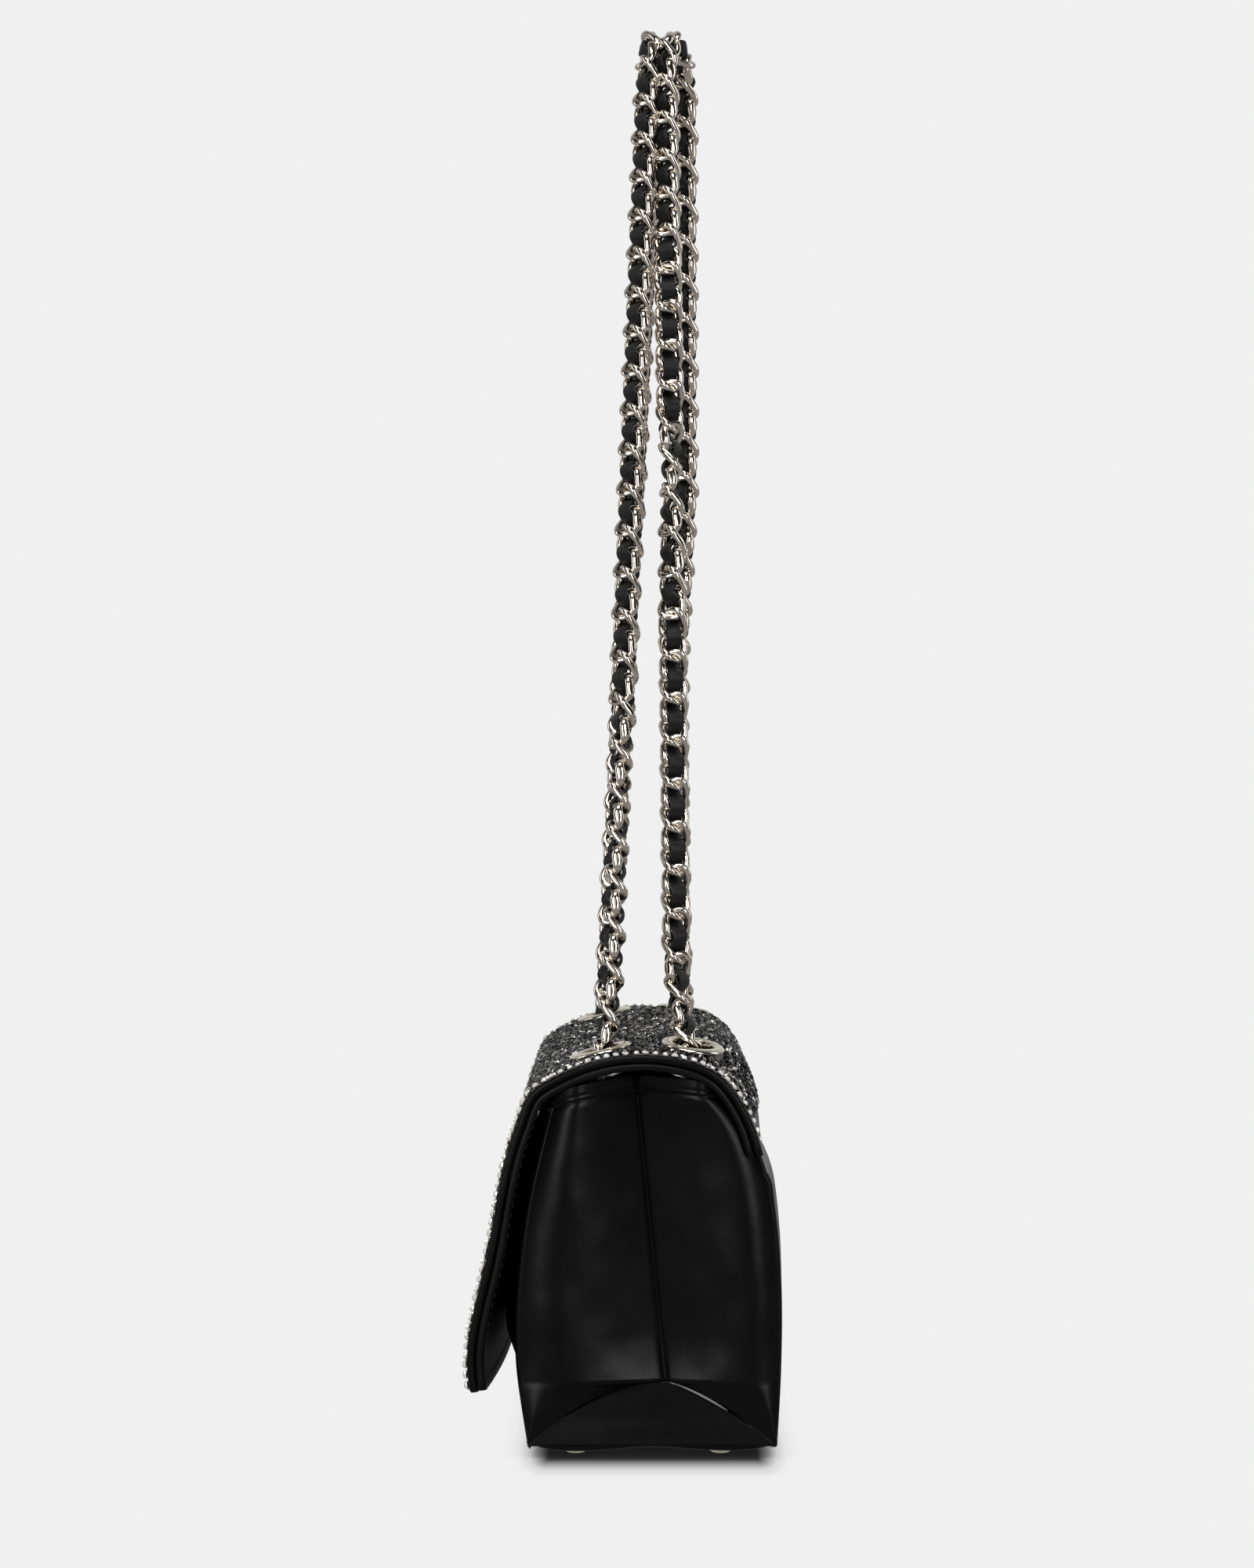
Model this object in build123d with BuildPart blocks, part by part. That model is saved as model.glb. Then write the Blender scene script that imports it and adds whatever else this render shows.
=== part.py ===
"""A small evening bag: a boarded satin body with folded side gussets, a bowed flap covered in
crystals, and one long chain strap, woven with ribbon, that runs doubled through four eyelets.

Frame: millimetres, +Z up, length along X, the flap closes over the front at -Y. The origin is
midway between the flap's lowest edge and the back, on the plane that the four feet stand on.
"""

from build123d import *
import math
import os

os.makedirs("parts", exist_ok=True)

# ---- driving dimensions ----------------------------------------------------------------------

LENGTH = 200.0
FOOT_HEIGHT = 2.3
PANEL = 2.4            # boarded front and back panels
GUSSET = 1.6
GUSSET_FOLD = 9.0      # how far the middle of each gusset is tucked in
GUSSET_CLEARANCE = 0.4
LINING = 0.8
LINING_INSET = 3.8     # from the panels' outer faces to the lining's
MOUTH = 96.0           # height of the lining's top edge
COVER = 2.4            # flap's outer board and satin
FLAP_LINING = 2.3
CRYSTAL = 1.3
TAIL_LAYER = 1.4       # each of the two thinner layers sewn on the back
BOW = 5.0              # how far the middle of the closed flap is drawn in by its magnet
GAP = 0.1              # between bonded layers
HINGE_GAP = 0.3

# Outer faces of the body as (Y, Z), from the floor edge up.
FRONT = [(-27.7, 2.4), (-31.4, 29.0), (-28.8, 70.0), (-21.0, 105.0)]
BACK = [(46.0, 2.4), (47.3, 26.5), (47.1, 52.0), (45.2, 74.0)]
BACK += [(43.6, 83.5), (39.0, 88.4), (36.0, 97.8), (28.2, 108.2)]

# Satin face of the flap, from its free edge over the top to the fold, then down the back.
FOLD = (28.6, 113.8)
FLAP = [(-45.0, 19.5), (-45.7, 27.0), (-39.7, 61.0), (-31.5, 97.6), (-26.6, 108.6), (-19.2, 113.3)]
FLAP += [(3.4, 119.4), (12.3, 119.1), FOLD]
TAIL = [FOLD, (38.6, 99.8), (42.0, 89.6)]
SHOULDER = 108.0       # the flap is straight above this height and bowed below it
FREE_EDGE = 19.5

FOOT_X, FOOT_Y = 85.0, (-13.7, 29.5)
FOOT_RADIUS = 4.2
SHAFT_RADIUS = 1.2
FOOT_WASHER_RADIUS, FOOT_WASHER = 3.4, 0.5

EYELET_X = 75.0
EYELET_Y = {"front": -6.2, "back": 20.6}
EYELET_BORE, EYELET_FLANGE = 6.3, 9.7
EYELET_HEIGHT = 2.3
EYELET_WALL = 0.5
EYELET_HOLE = EYELET_BORE + EYELET_WALL + 0.05
TAIL_RELIEF = 3.0      # cut round the hinge line, where the back eyelets' rims swing over it
TAIL_RELIEF_HALF = 7.0

MAGNET_HEIGHT = 45.0
MAGNET_RADIUS = 8.0

# The chain: round wire links, each a quarter turn from the next.
WIRE = 2.0
LINK_LENGTH, LINK_WIDTH = 10.95, 9.2
PITCH = 6.75
TOP_PITCH = 6.45       # the upper links lie a little slack, to turn over the top
INNER_LINKS = 7        # from eyelet to eyelet under the flap
ROOT_HEIGHT = 113.0    # where a strand enters the flap from below
PEAK_HEIGHT = 441.3
TURN_RADIUS = 13.0
PEAK_Y = {"front": 7.8, "back": 18.0}
LEAD, LOWER, MIDDLE = {"front": 2, "back": 4}, {"front": 6, "back": 12}, 18
RIBBON_WIDTH, RIBBON_THICK = 4.6, 0.8
RIBBON_END = 5.0       # the ribbon stops this far short of each bend
RIBBON_START = 1.3     # and starts again this far past it
RIBBON_ROOT = 1.0      # the lead ribbon's lower end, above the root of its strand

X_AXIS = Vector(1, 0, 0)


# ---- outlines --------------------------------------------------------------------------------

def inset(line, depth):
    """The open line moved `depth` to its right, with mitred corners and square ends."""
    moved = []
    for i, (y, z) in enumerate(line):
        before = line[max(i - 1, 0)]
        after = line[min(i + 1, len(line) - 1)]
        runs = []
        for a, b in ((before, (y, z)), ((y, z), after)):
            size = math.hypot(b[0] - a[0], b[1] - a[1])
            if size > 0:
                runs.append(((b[1] - a[1]) / size, -(b[0] - a[0]) / size))
        ny = sum(n[0] for n in runs) / len(runs)
        nz = sum(n[1] for n in runs) / len(runs)
        scale = depth / (ny * ny + nz * nz)
        moved.append((y + ny * scale, z + nz * scale))
    return moved


def toward(start, end, distance):
    """The point at a distance from `start` on the way to `end`."""
    size = math.dist(start, end)
    return tuple(s + (e - s) * distance / size for s, e in zip(start, end))


def at_height(line, z):
    """Y of a body outline at height z."""
    for (y0, z0), (y1, z1) in zip(line, line[1:]):
        if z <= z1:
            return y0 + (y1 - y0) * (z - z0) / (z1 - z0)
    return line[-1][0]


def below(line, z):
    """The part of a body outline below height z."""
    return [p for p in line if p[1] < z] + [(at_height(line, z), z)]


def layer(line, near, far):
    """A closed outline between two depths of an open line."""
    return inset(line, near) + inset(line, far)[::-1]


def profile_solid(outline, half_length):
    """A closed (Y, Z) outline run along X."""
    with BuildPart() as made:
        with BuildSketch(Plane.YZ):
            with BuildLine():
                Polyline(*outline, close=True)
            make_face()
        extrude(amount=half_length, both=True)
    return made.part


def bow(y, z, x):
    """A flap outline point, drawn in at the middle of the closed flap's front."""
    drop = min(max((SHOULDER - z) / (SHOULDER - FREE_EDGE), 0), 1) if y < 0 else 0
    return y + BOW * drop * (1 - (2 * x / LENGTH) ** 2), z


def bowed_solid(outline, half_length):
    """A closed (Y, Z) outline run along X with the flap's bow."""
    stations = 8
    with BuildPart() as made:
        for i in range(stations + 1):
            x = half_length * (2 * i / stations - 1)
            with BuildSketch(Plane.YZ.offset(x)):
                with BuildLine():
                    Polyline(*[bow(y, z, x) for y, z in outline], close=True)
                make_face()
        loft(ruled=True)
    return made.part


def write(part, label):
    """Labels one finished piece and writes it."""
    part.label = label
    export_step(part, f"parts/{label}.step")
    print(label, len(part.solids()), round(sum(s.volume for s in part.solids())))


# ---- planes on the flap ----------------------------------------------------------------------

def flap_slope(y):
    """Height and upward normal (Y, Z) of the flap's top at y."""
    for (y0, z0), (y1, z1) in zip(FLAP[5:], FLAP[6:]):
        if y0 <= y <= y1:
            size = math.hypot(y1 - y0, z1 - z0)
            return z0 + (z1 - z0) * (y - y0) / (y1 - y0), (-(z1 - z0) / size, (y1 - y0) / size)


def eyelet_plane(x, side):
    """The plane of one eyelet, on the flap's satin face, with Z outward."""
    z, (ny, nz) = flap_slope(EYELET_Y[side])
    return Plane(origin=(x, EYELET_Y[side], z), x_dir=(1, 0, 0), z_dir=(0, ny, nz))


EYELET_PLANES = {
    f"{side}_{hand}": eyelet_plane(sign * EYELET_X, side)
    for side in ("front", "back")
    for hand, sign in (("right", 1), ("left", -1))
}


def magnet_plane():
    """The plane on the front panel's face where the snap's socket is fixed, with Z outward."""
    low, high = FRONT[1], FRONT[2]
    size = math.dist(low, high)
    normal = (0, -(high[1] - low[1]) / size, (high[0] - low[0]) / size)
    spot = (0, at_height(FRONT, MAGNET_HEIGHT), MAGNET_HEIGHT)
    return Plane(origin=spot, x_dir=(1, 0, 0), z_dir=normal)


SNAP = magnet_plane()
SOCKET_THICK, STUD_THICK = 1.9, 1.6
SNAP_SHAFT = 1.6
SHAFT_CLEARANCE = 0.1
SNAP_WASHER_RADIUS, SNAP_WASHER = 5.0, 0.7


def bored(part, places, radius, depth=30.0):
    """The part with a round hole through it at each plane."""
    with BuildPart() as made:
        add(part)
        for place in places:
            with BuildSketch(place.offset(-depth / 2)):
                Circle(radius)
            extrude(amount=depth, mode=Mode.SUBTRACT)
    return made.part


def foot_planes():
    """The plane under each foot's shaft, at the floor edge of the base."""
    return {
        f"foot_{side}_{hand}": Plane(origin=(sign * FOOT_X, y, FOOT_HEIGHT))
        for side, y in zip(("front", "back"), FOOT_Y)
        for hand, sign in (("right", 1), ("left", -1))
    }


# ---- body ------------------------------------------------------------------------------------

BASE_TOP = 4.5
BOARD_LOW, BOARD_TOP = 4.6, 6.0
BOARD_INSET = 4.0
LINING_FLOOR = 6.2
GUSSET_TUCK, GUSSET_TOP = 25.0, 104.0
PANEL_HALF = LENGTH / 2 - 2.0
HALF_BASE = PANEL_HALF - GUSSET - 0.4


def make_panels():
    """Front and back boarded panels, bored for the snap's shaft."""
    front = profile_solid(layer(FRONT, 0, PANEL), PANEL_HALF)
    write(bored(front, [SNAP], SNAP_SHAFT + SHAFT_CLEARANCE), "front_panel")
    write(profile_solid(layer(BACK, 0, -PANEL), PANEL_HALF), "back_panel")


def make_base():
    """The base panel and the stiff board over it, both cleared for the feet."""
    feet = list(foot_planes().values())
    seam, corner = 0.5, 3.0
    y0 = FRONT[0][0] + PANEL + seam
    y1 = BACK[0][0] - PANEL - seam
    middle = (y0 + y1) / 2
    with BuildPart() as base:
        with BuildSketch(Plane.XY.offset(FOOT_HEIGHT)):
            with Locations((0, middle)):
                RectangleRounded(2 * HALF_BASE, y1 - y0, corner)
        extrude(amount=BASE_TOP - FOOT_HEIGHT)
    write(bored(base.part, feet, SHAFT_RADIUS + 0.05), "base_panel")
    with BuildPart() as board:
        with BuildSketch(Plane.XY.offset(BOARD_LOW)):
            with Locations((0, middle)):
                RectangleRounded(2 * HALF_BASE - 2 * BOARD_INSET, y1 - y0 - BOARD_INSET, corner)
        extrude(amount=BOARD_TOP - BOARD_LOW)
    write(bored(board.part, feet, FOOT_WASHER_RADIUS + 1.6), "base_board")


def gusset_outline(z, recess):
    """Six (X, Y) corners of a gusset's V at one height."""
    y0 = at_height(inset(FRONT, PANEL), z) + GUSSET_CLEARANCE
    y1 = at_height(inset(BACK, -PANEL), z) - GUSSET_CLEARANCE
    middle = (y0 + y1) / 2
    outer = [(PANEL_HALF, y0), (PANEL_HALF - recess, middle), (PANEL_HALF, y1)]
    return outer + [(x - GUSSET, y) for x, y in outer[::-1]]


def make_gussets():
    """The side gussets: tucked in along the middle, flattening out at the floor edge."""
    heights = [BASE_TOP + 0.3, GUSSET_TUCK, 52.0, 74.0, 83.0, 88.0, 97.0, GUSSET_TOP]
    with BuildPart() as gusset:
        for z in heights:
            recess = GUSSET_FOLD * min((z - BASE_TOP) / (GUSSET_TUCK - BASE_TOP), 1)
            with BuildSketch(Plane.XY.offset(z)):
                with BuildLine():
                    Polyline(*gusset_outline(z, recess), close=True)
                make_face()
        loft(ruled=True)
    right = gusset.part
    write(right, "side_gusset_right")
    write(mirror(right, about=Plane.YZ), "side_gusset_left")


def make_lining():
    """The inside pocket: a thin open-topped bucket."""
    half = PANEL_HALF - GUSSET - GUSSET_FOLD - 0.8
    front = [p for p in inset(FRONT, LINING_INSET) if p[1] > LINING_FLOOR]
    back = [p for p in inset(BACK, -LINING_INSET) if p[1] > LINING_FLOOR]

    def bucket(extra, floor):
        """The section's outline, moved in from the pocket's outside by `extra`."""
        front_foot = (at_height(inset(FRONT, LINING_INSET + extra), floor), floor)
        back_foot = (at_height(inset(BACK, -LINING_INSET - extra), floor), floor)
        left = below([front_foot] + inset(front, extra), MOUTH)
        right = below([back_foot] + inset(back, -extra), MOUTH)
        return left + right[::-1]

    with BuildPart() as lining:
        add(profile_solid(bucket(0, LINING_FLOOR), half))
        add(profile_solid(bucket(LINING, LINING_FLOOR + LINING), half - LINING), mode=Mode.SUBTRACT)
    write(lining.part, "lining")


def make_feet():
    """Four domed studs with a small flat underneath, each riveted through the base."""
    flat = 2.0
    cheek = (0.84 * FOOT_RADIUS, 0.11 * FOOT_HEIGHT)
    rim = (FOOT_RADIUS, FOOT_HEIGHT)
    shaft_top = BASE_TOP + FOOT_WASHER + 0.1
    for name, place in foot_planes().items():
        with BuildPart() as foot:
            with BuildSketch(Plane.XZ):
                with BuildLine():
                    Line((0, 0), (flat, 0))
                    ThreePointArc((flat, 0), cheek, rim)
                    Polyline(rim, (SHAFT_RADIUS, FOOT_HEIGHT), (SHAFT_RADIUS, shaft_top))
                    Polyline((SHAFT_RADIUS, shaft_top), (0, shaft_top), (0, 0))
                make_face()
            revolve(axis=Axis.Z)
        with BuildPart() as placed:
            with Locations((place.origin.X, place.origin.Y, 0)):
                add(foot.part)
        write(placed.part, name)
    with BuildPart() as washers:
        for place in foot_planes().values():
            with BuildSketch(place.offset(BASE_TOP - FOOT_HEIGHT + 0.02)):
                Circle(FOOT_WASHER_RADIUS)
                Circle(SHAFT_RADIUS + 0.02, mode=Mode.SUBTRACT)
            extrude(amount=FOOT_WASHER)
    write(washers.part, "foot_washers")


# ---- flap ------------------------------------------------------------------------------------

def relieved(part):
    """The part, cut away round the hinge line at the two back eyelets."""
    with BuildPart() as made:
        add(part)
        for x in (EYELET_X, -EYELET_X):
            with BuildSketch(Plane.YZ.offset(x)):
                with Locations(FOLD):
                    Circle(TAIL_RELIEF)
            extrude(amount=TAIL_RELIEF_HALF, both=True, mode=Mode.SUBTRACT)
    return made.part


def make_flap():
    """The flap's board, lining and crystal face, and the tail that is sewn on the back."""
    start = toward(FOLD, FLAP[-2], HINGE_GAP)
    mitre = [*FLAP[:-1], start, TAIL[1]]
    holes = list(EYELET_PLANES.values())
    cover = inset(mitre, 0)[:-1] + inset(mitre, COVER)[:-1][::-1]
    under = COVER + GAP
    lining = inset(mitre, under)[:-1] + inset(mitre, under + FLAP_LINING)[:-1][::-1]
    half = LENGTH / 2
    pocket_depth = 2.4
    with BuildPart() as flap_cover:
        add(bored(bowed_solid(cover, half), holes, EYELET_HOLE))
        with BuildSketch(SNAP.offset(SOCKET_THICK + STUD_THICK + FLAP_LINING - 0.5)):
            Circle(SNAP_WASHER_RADIUS + 0.3)
        extrude(amount=pocket_depth, mode=Mode.SUBTRACT)
    write(flap_cover.part, "flap_cover")
    flap_lining = bored(bowed_solid(lining, half), holes, EYELET_HOLE)
    write(bored(flap_lining, [SNAP], SNAP_SHAFT + SHAFT_CLEARANCE), "flap_lining")

    bare_edge, bare_fold = 0.8, 1.8
    face = [*FLAP[:-1], toward(FOLD, FLAP[-2], bare_fold)]
    crystals = bowed_solid(layer(face, -GAP - CRYSTAL, -GAP), half - bare_edge)
    write(bored(crystals, holes, EYELET_FLANGE + 0.15), "flap_crystals")

    mitred_tail = [FLAP[-2], toward(FOLD, TAIL[1], HINGE_GAP), *TAIL[1:]]
    step = TAIL_LAYER + GAP
    outer = inset(mitred_tail, 0)[1:] + inset(mitred_tail, TAIL_LAYER)[1:][::-1]
    inner = inset(mitred_tail, step)[1:] + inset(mitred_tail, step + TAIL_LAYER)[1:][::-1]
    write(relieved(profile_solid(outer, half)), "tail_cover")
    write(profile_solid(inner, half), "tail_lining")
    tail_face = layer([toward(FOLD, TAIL[1], bare_fold), *TAIL[1:]], -GAP - CRYSTAL, -GAP)
    write(relieved(profile_solid(tail_face, half - bare_edge)), "tail_crystals")


def make_eyelets():
    """Four flanged eyelets, each with its barrel rolled over a washer under the flap."""
    under = -(COVER + GAP + FLAP_LINING)
    washer_top, washer_low = under - 0.2, under - 0.9
    washer_radius = 8.6
    roll_top, lip = washer_low - 0.02, washer_low - 0.5
    barrel, roll = EYELET_BORE + EYELET_WALL, EYELET_BORE + 1.4
    shoulder = (EYELET_BORE, 0.45 * EYELET_HEIGHT)
    crown = ((EYELET_BORE + EYELET_FLANGE) / 2, EYELET_HEIGHT)
    rim = (EYELET_FLANGE, GAP)
    for name, place in EYELET_PLANES.items():
        side = Plane(origin=place.origin, x_dir=(1, 0, 0), z_dir=-place.y_dir)
        with BuildPart() as eyelet:
            with BuildSketch(side):
                with BuildLine():
                    Polyline(shoulder, (EYELET_BORE, lip), (roll, lip), (roll, roll_top))
                    Polyline((roll, roll_top), (barrel, roll_top), (barrel, GAP), rim)
                    ThreePointArc(rim, crown, shoulder)
                make_face()
            revolve(axis=Axis(place.origin, place.z_dir))
        write(eyelet.part, f"eyelet_{name}")
        washer = disc(place, washer_low, washer_top - washer_low, washer_radius, barrel + 0.02)
        write(washer, f"eyelet_washer_{name}")


def disc(plane, start, thick, radius, bore=0.0):
    """A disc, or a washer, from one height over a plane."""
    with BuildPart() as made:
        with BuildSketch(plane.offset(start)):
            Circle(radius)
            if bore:
                Circle(bore, mode=Mode.SUBTRACT)
        extrude(amount=thick)
    return made.part


def make_snap():
    """The magnetic snap: socket on the front panel, stud in the flap, each with its washer."""
    socket_clearance, stud_clearance = 0.15, 0.35
    recess_radius, recess = 2.6, 0.7
    boss_radius, boss = 2.2, 0.5
    washer_bore = SNAP_SHAFT + 0.02
    washer_low = -PANEL - SNAP_WASHER - 0.1
    with BuildPart() as socket:
        add(disc(SNAP, socket_clearance, SOCKET_THICK - socket_clearance, MAGNET_RADIUS))
        add(disc(SNAP, washer_low - 0.05, socket_clearance + 0.1 - washer_low, SNAP_SHAFT))
        add(disc(SNAP, SOCKET_THICK - recess, recess + 0.1, recess_radius), mode=Mode.SUBTRACT)
    write(socket.part, "snap_socket")
    write(disc(SNAP, washer_low, SNAP_WASHER, SNAP_WASHER_RADIUS, washer_bore), "snap_socket_washer")
    face = SOCKET_THICK + 0.3
    back = SOCKET_THICK + STUD_THICK
    with BuildPart() as stud:
        add(disc(SNAP, face, back - face - stud_clearance, MAGNET_RADIUS - 0.6))
        add(disc(SNAP, back - stud_clearance - 0.1, FLAP_LINING + 1.9, SNAP_SHAFT))
        add(disc(SNAP, SOCKET_THICK - boss, boss + 0.4, boss_radius))
    write(stud.part, "snap_stud")
    washer = disc(SNAP, back + FLAP_LINING + 0.7, SNAP_WASHER, SNAP_WASHER_RADIUS, washer_bore)
    write(washer, "snap_stud_washer")


# ---- chain strap -----------------------------------------------------------------------------

def make_link():
    """One ring of round wire with straight sides: long along Y, flat on XY."""
    bend = (LINK_WIDTH - WIRE) / 2
    straight = (LINK_LENGTH - WIRE) / 2 - bend
    with BuildPart() as link:
        with BuildLine():
            Line((bend, -straight), (bend, straight))
            CenterArc((0, straight), bend, 0, 180)
            Line((-bend, straight), (-bend, -straight))
            CenterArc((0, -straight), bend, 180, 180)
        with BuildSketch(Plane(origin=(bend, 0, 0), x_dir=(1, 0, 0), z_dir=(0, 1, 0))):
            Circle(WIRE / 2)
        sweep()
    return link.part.solid()


LINK = make_link()


class Loop:
    """One of the strap's two loops: up from an eyelet at +X, over the top, and down to -X."""

    def __init__(self, side):
        self.side = side
        foot, peak = (EYELET_Y[side], ROOT_HEIGHT), (PEAK_Y[side], PEAK_HEIGHT)
        self.height = math.dist(foot, peak)
        up = Vector(0, peak[0] - foot[0], peak[1] - foot[1]).normalized()
        self.plane = Plane(origin=(0, *foot), x_dir=(1, 0, 0), z_dir=X_AXIS.cross(up))
        centre = self.height - TURN_RADIUS
        self.lean = math.atan2(EYELET_X, centre) - math.asin(TURN_RADIUS / math.hypot(EYELET_X, centre))
        self.centre = centre
        top_x = TURN_RADIUS * math.cos(self.lean)
        top_high = centre + TURN_RADIUS * math.sin(self.lean)
        self.leg = math.hypot(EYELET_X - top_x, top_high)
        self.half = self.leg + TURN_RADIUS * (math.pi / 2 - self.lean)

    def spot(self, along):
        """Place on the loop's plane at a distance along it: x, height and turn in radians."""
        side = 1
        if along > self.half:
            along, side = 2 * self.half - along, -1
        turn = self.lean
        if along <= self.leg:
            x, high = EYELET_X - along * math.sin(turn), along * math.cos(turn)
        else:
            turn += (along - self.leg) / TURN_RADIUS
            x, high = TURN_RADIUS * math.cos(turn), self.centre + TURN_RADIUS * math.sin(turn)
        return side * x, high, side * turn

    def location(self, along, roll=0):
        """Where a link or a piece of ribbon sits at a distance along the loop."""
        x, high, turn = self.spot(along)
        place = Location((x, high, 0), (0, 0, math.degrees(turn)))
        return self.plane.location * place * Location((0, 0, 0), (0, roll, 0))

    def stages(self):
        """Link places for the lead, lower, middle and upper lengths, and each bend's distance."""
        along, roll = PITCH / 2, 90
        groups, bends = [], []
        for count in (LEAD[self.side], LOWER[self.side], MIDDLE):
            places = []
            for _ in range(count):
                places += [(along, roll), (2 * self.half - along, roll)]
                last = along
                along, roll = along + PITCH, 90 - roll
            groups.append(places)
            bends.append(last + (LINK_LENGTH - WIRE) / 2)
        span = 2 * (self.half - along)
        steps = 2 * round(span / TOP_PITCH / 2)
        rolls = (roll, 90 - roll)
        groups.append([(along + i * span / steps, rolls[i % 2]) for i in range(steps + 1)])
        return groups, bends

    def strip(self, start, end):
        """A straight length of ribbon on the leg from `start` to `end`, and its twin opposite."""
        middle = (start + end) / 2
        return [self.location(at) * Box(RIBBON_WIDTH, end - start, RIBBON_THICK)
                for at in (middle, 2 * self.half - middle)]

    def hairpin(self, start):
        """The ribbon from one leg over the top to the other."""
        x, high, _ = self.spot(start)
        turn_x, turn_high, _ = self.spot(self.leg)
        lean = math.degrees(self.lean)
        with BuildPart() as made:
            with BuildSketch(self.plane.offset(-RIBBON_WIDTH / 2)):
                with BuildLine() as route:
                    Line((x, high), (turn_x, turn_high))
                    Line((-turn_x, turn_high), (-x, high))
                    CenterArc((0, self.centre), TURN_RADIUS, lean, 180 - 2 * lean)
                trace(route.line, line_width=RIBBON_THICK)
            extrude(amount=RIBBON_WIDTH)
        return made.part


def chain_part(locations):
    """Separate links, one at each location."""
    return Compound(children=[LINK.moved(place) for place in locations])


def make_inner_run():
    """Places of the links under the flap, from the front eyelets to the back ones."""
    radius, drop = 10.0, 1.0
    span = EYELET_Y["back"] - EYELET_Y["front"]
    quarter = radius * math.pi / 2
    flat = span - 2 * radius
    total = 2 * (drop + quarter) + flat

    def spot(along):
        """Y, Z and direction in degrees from -Z towards +Y."""
        if along > total / 2:
            y, z, turn = spot(total - along)
            return EYELET_Y["front"] + EYELET_Y["back"] - y, z, 180 - turn
        y, z, turn = EYELET_Y["front"], ROOT_HEIGHT - along, 0.0
        if along > drop:
            angle = min((along - drop) / radius, math.pi / 2)
            y += radius * (1 - math.cos(angle)) + max(along - drop - quarter, 0)
            z = ROOT_HEIGHT - drop - radius * math.sin(angle)
            turn = math.degrees(angle)
        return y, z, turn

    step = total / INNER_LINKS
    places = []
    for x in (EYELET_X, -EYELET_X):
        for i in range(INNER_LINKS):
            y, z, turn = spot((i + 0.5) * step)
            # Local Y runs along the path and local X lies along the world X axis on even links.
            frame = Location((x, y, z), (turn - 90, 0, 0))
            places.append(frame * Location((0, 0, 0), (0, 90 * (i % 2), 0)))
    return places


def make_strap():
    """Both loops of links and ribbon, split where the strap folds down."""
    leads, lead_ribbons = make_inner_run(), []
    for side in ("front", "back"):
        loop = Loop(side)
        groups, bends = loop.stages()
        leads += [loop.location(*place) for place in groups[0]]
        lead_ribbons += loop.strip(RIBBON_ROOT, bends[0] - RIBBON_END)
        for number, name in ((1, "lower"), (2, "middle"), (3, "upper")):
            places = [loop.location(*place) for place in groups[number]]
            write(chain_part(places), f"{side}_{name}_links")
        starts = [bend + RIBBON_START for bend in bends]
        write(Compound(children=loop.strip(starts[0], bends[1] - RIBBON_END)), f"{side}_lower_ribbon")
        write(Compound(children=loop.strip(starts[1], bends[2] - RIBBON_END)), f"{side}_middle_ribbon")
        write(loop.hairpin(starts[2]), f"{side}_upper_ribbon")
        for bend in bends:
            point = loop.location(bend).position
            print(f"{side} bend at Y {point.Y:.2f} Z {point.Z:.2f}")
    write(chain_part(leads), "strap_inner_links")
    write(Compound(children=lead_ribbons), "strap_lead_ribbon")


make_panels()
make_base()
make_gussets()
make_lining()
make_feet()
make_flap()
make_eyelets()
make_snap()
make_strap()
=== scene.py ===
"""Looks of a small evening bag: black satin, crystal-covered flap, and a chain strap woven with ribbon.

Shapes are worked out in millimetres, in the CAD frame, and become metres when a mesh is made.
X runs along the bag, the flap closes over the front at -Y, and the camera looks at the +X end.
"""

import math

import bpy
import numpy as np
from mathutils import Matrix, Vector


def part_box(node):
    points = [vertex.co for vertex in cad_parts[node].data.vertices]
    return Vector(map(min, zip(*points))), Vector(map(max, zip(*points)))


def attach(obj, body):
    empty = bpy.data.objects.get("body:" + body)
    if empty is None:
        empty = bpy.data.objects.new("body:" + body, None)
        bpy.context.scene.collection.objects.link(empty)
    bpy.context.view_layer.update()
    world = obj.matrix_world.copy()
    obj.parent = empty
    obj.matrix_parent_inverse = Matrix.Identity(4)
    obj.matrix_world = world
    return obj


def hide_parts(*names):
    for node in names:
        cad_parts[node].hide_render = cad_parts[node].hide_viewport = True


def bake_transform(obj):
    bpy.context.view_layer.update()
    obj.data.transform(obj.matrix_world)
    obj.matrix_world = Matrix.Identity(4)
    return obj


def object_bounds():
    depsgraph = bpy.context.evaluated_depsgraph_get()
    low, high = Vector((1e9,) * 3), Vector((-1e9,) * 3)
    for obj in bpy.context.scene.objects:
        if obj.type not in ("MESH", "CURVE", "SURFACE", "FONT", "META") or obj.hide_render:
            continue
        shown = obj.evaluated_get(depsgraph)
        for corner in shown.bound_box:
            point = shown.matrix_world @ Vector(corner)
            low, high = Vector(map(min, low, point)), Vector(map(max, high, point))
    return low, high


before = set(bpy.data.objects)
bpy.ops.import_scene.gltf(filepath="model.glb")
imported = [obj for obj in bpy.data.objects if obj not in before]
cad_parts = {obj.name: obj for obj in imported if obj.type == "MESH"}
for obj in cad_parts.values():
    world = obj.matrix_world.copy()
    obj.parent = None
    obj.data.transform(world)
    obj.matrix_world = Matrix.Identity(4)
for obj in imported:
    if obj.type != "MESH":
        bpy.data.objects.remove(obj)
cad_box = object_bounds()

MM = 0.001
SIDES = ("front", "back")
HANDS = {"right": 1, "left": -1}
rng = np.random.default_rng(11)

# ---- driving dimensions, as in the CAD ----

LENGTH = 200.0
HALF = LENGTH / 2
PANEL_HALF = HALF - 2.0
PANEL = 2.4
GUSSET = 1.3
COVER = 2.4
GAP = 0.1
FLAP_LINING = 2.3
FLAP_DEPTH = COVER + GAP + FLAP_LINING      # from the flap's face to its underside

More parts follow.
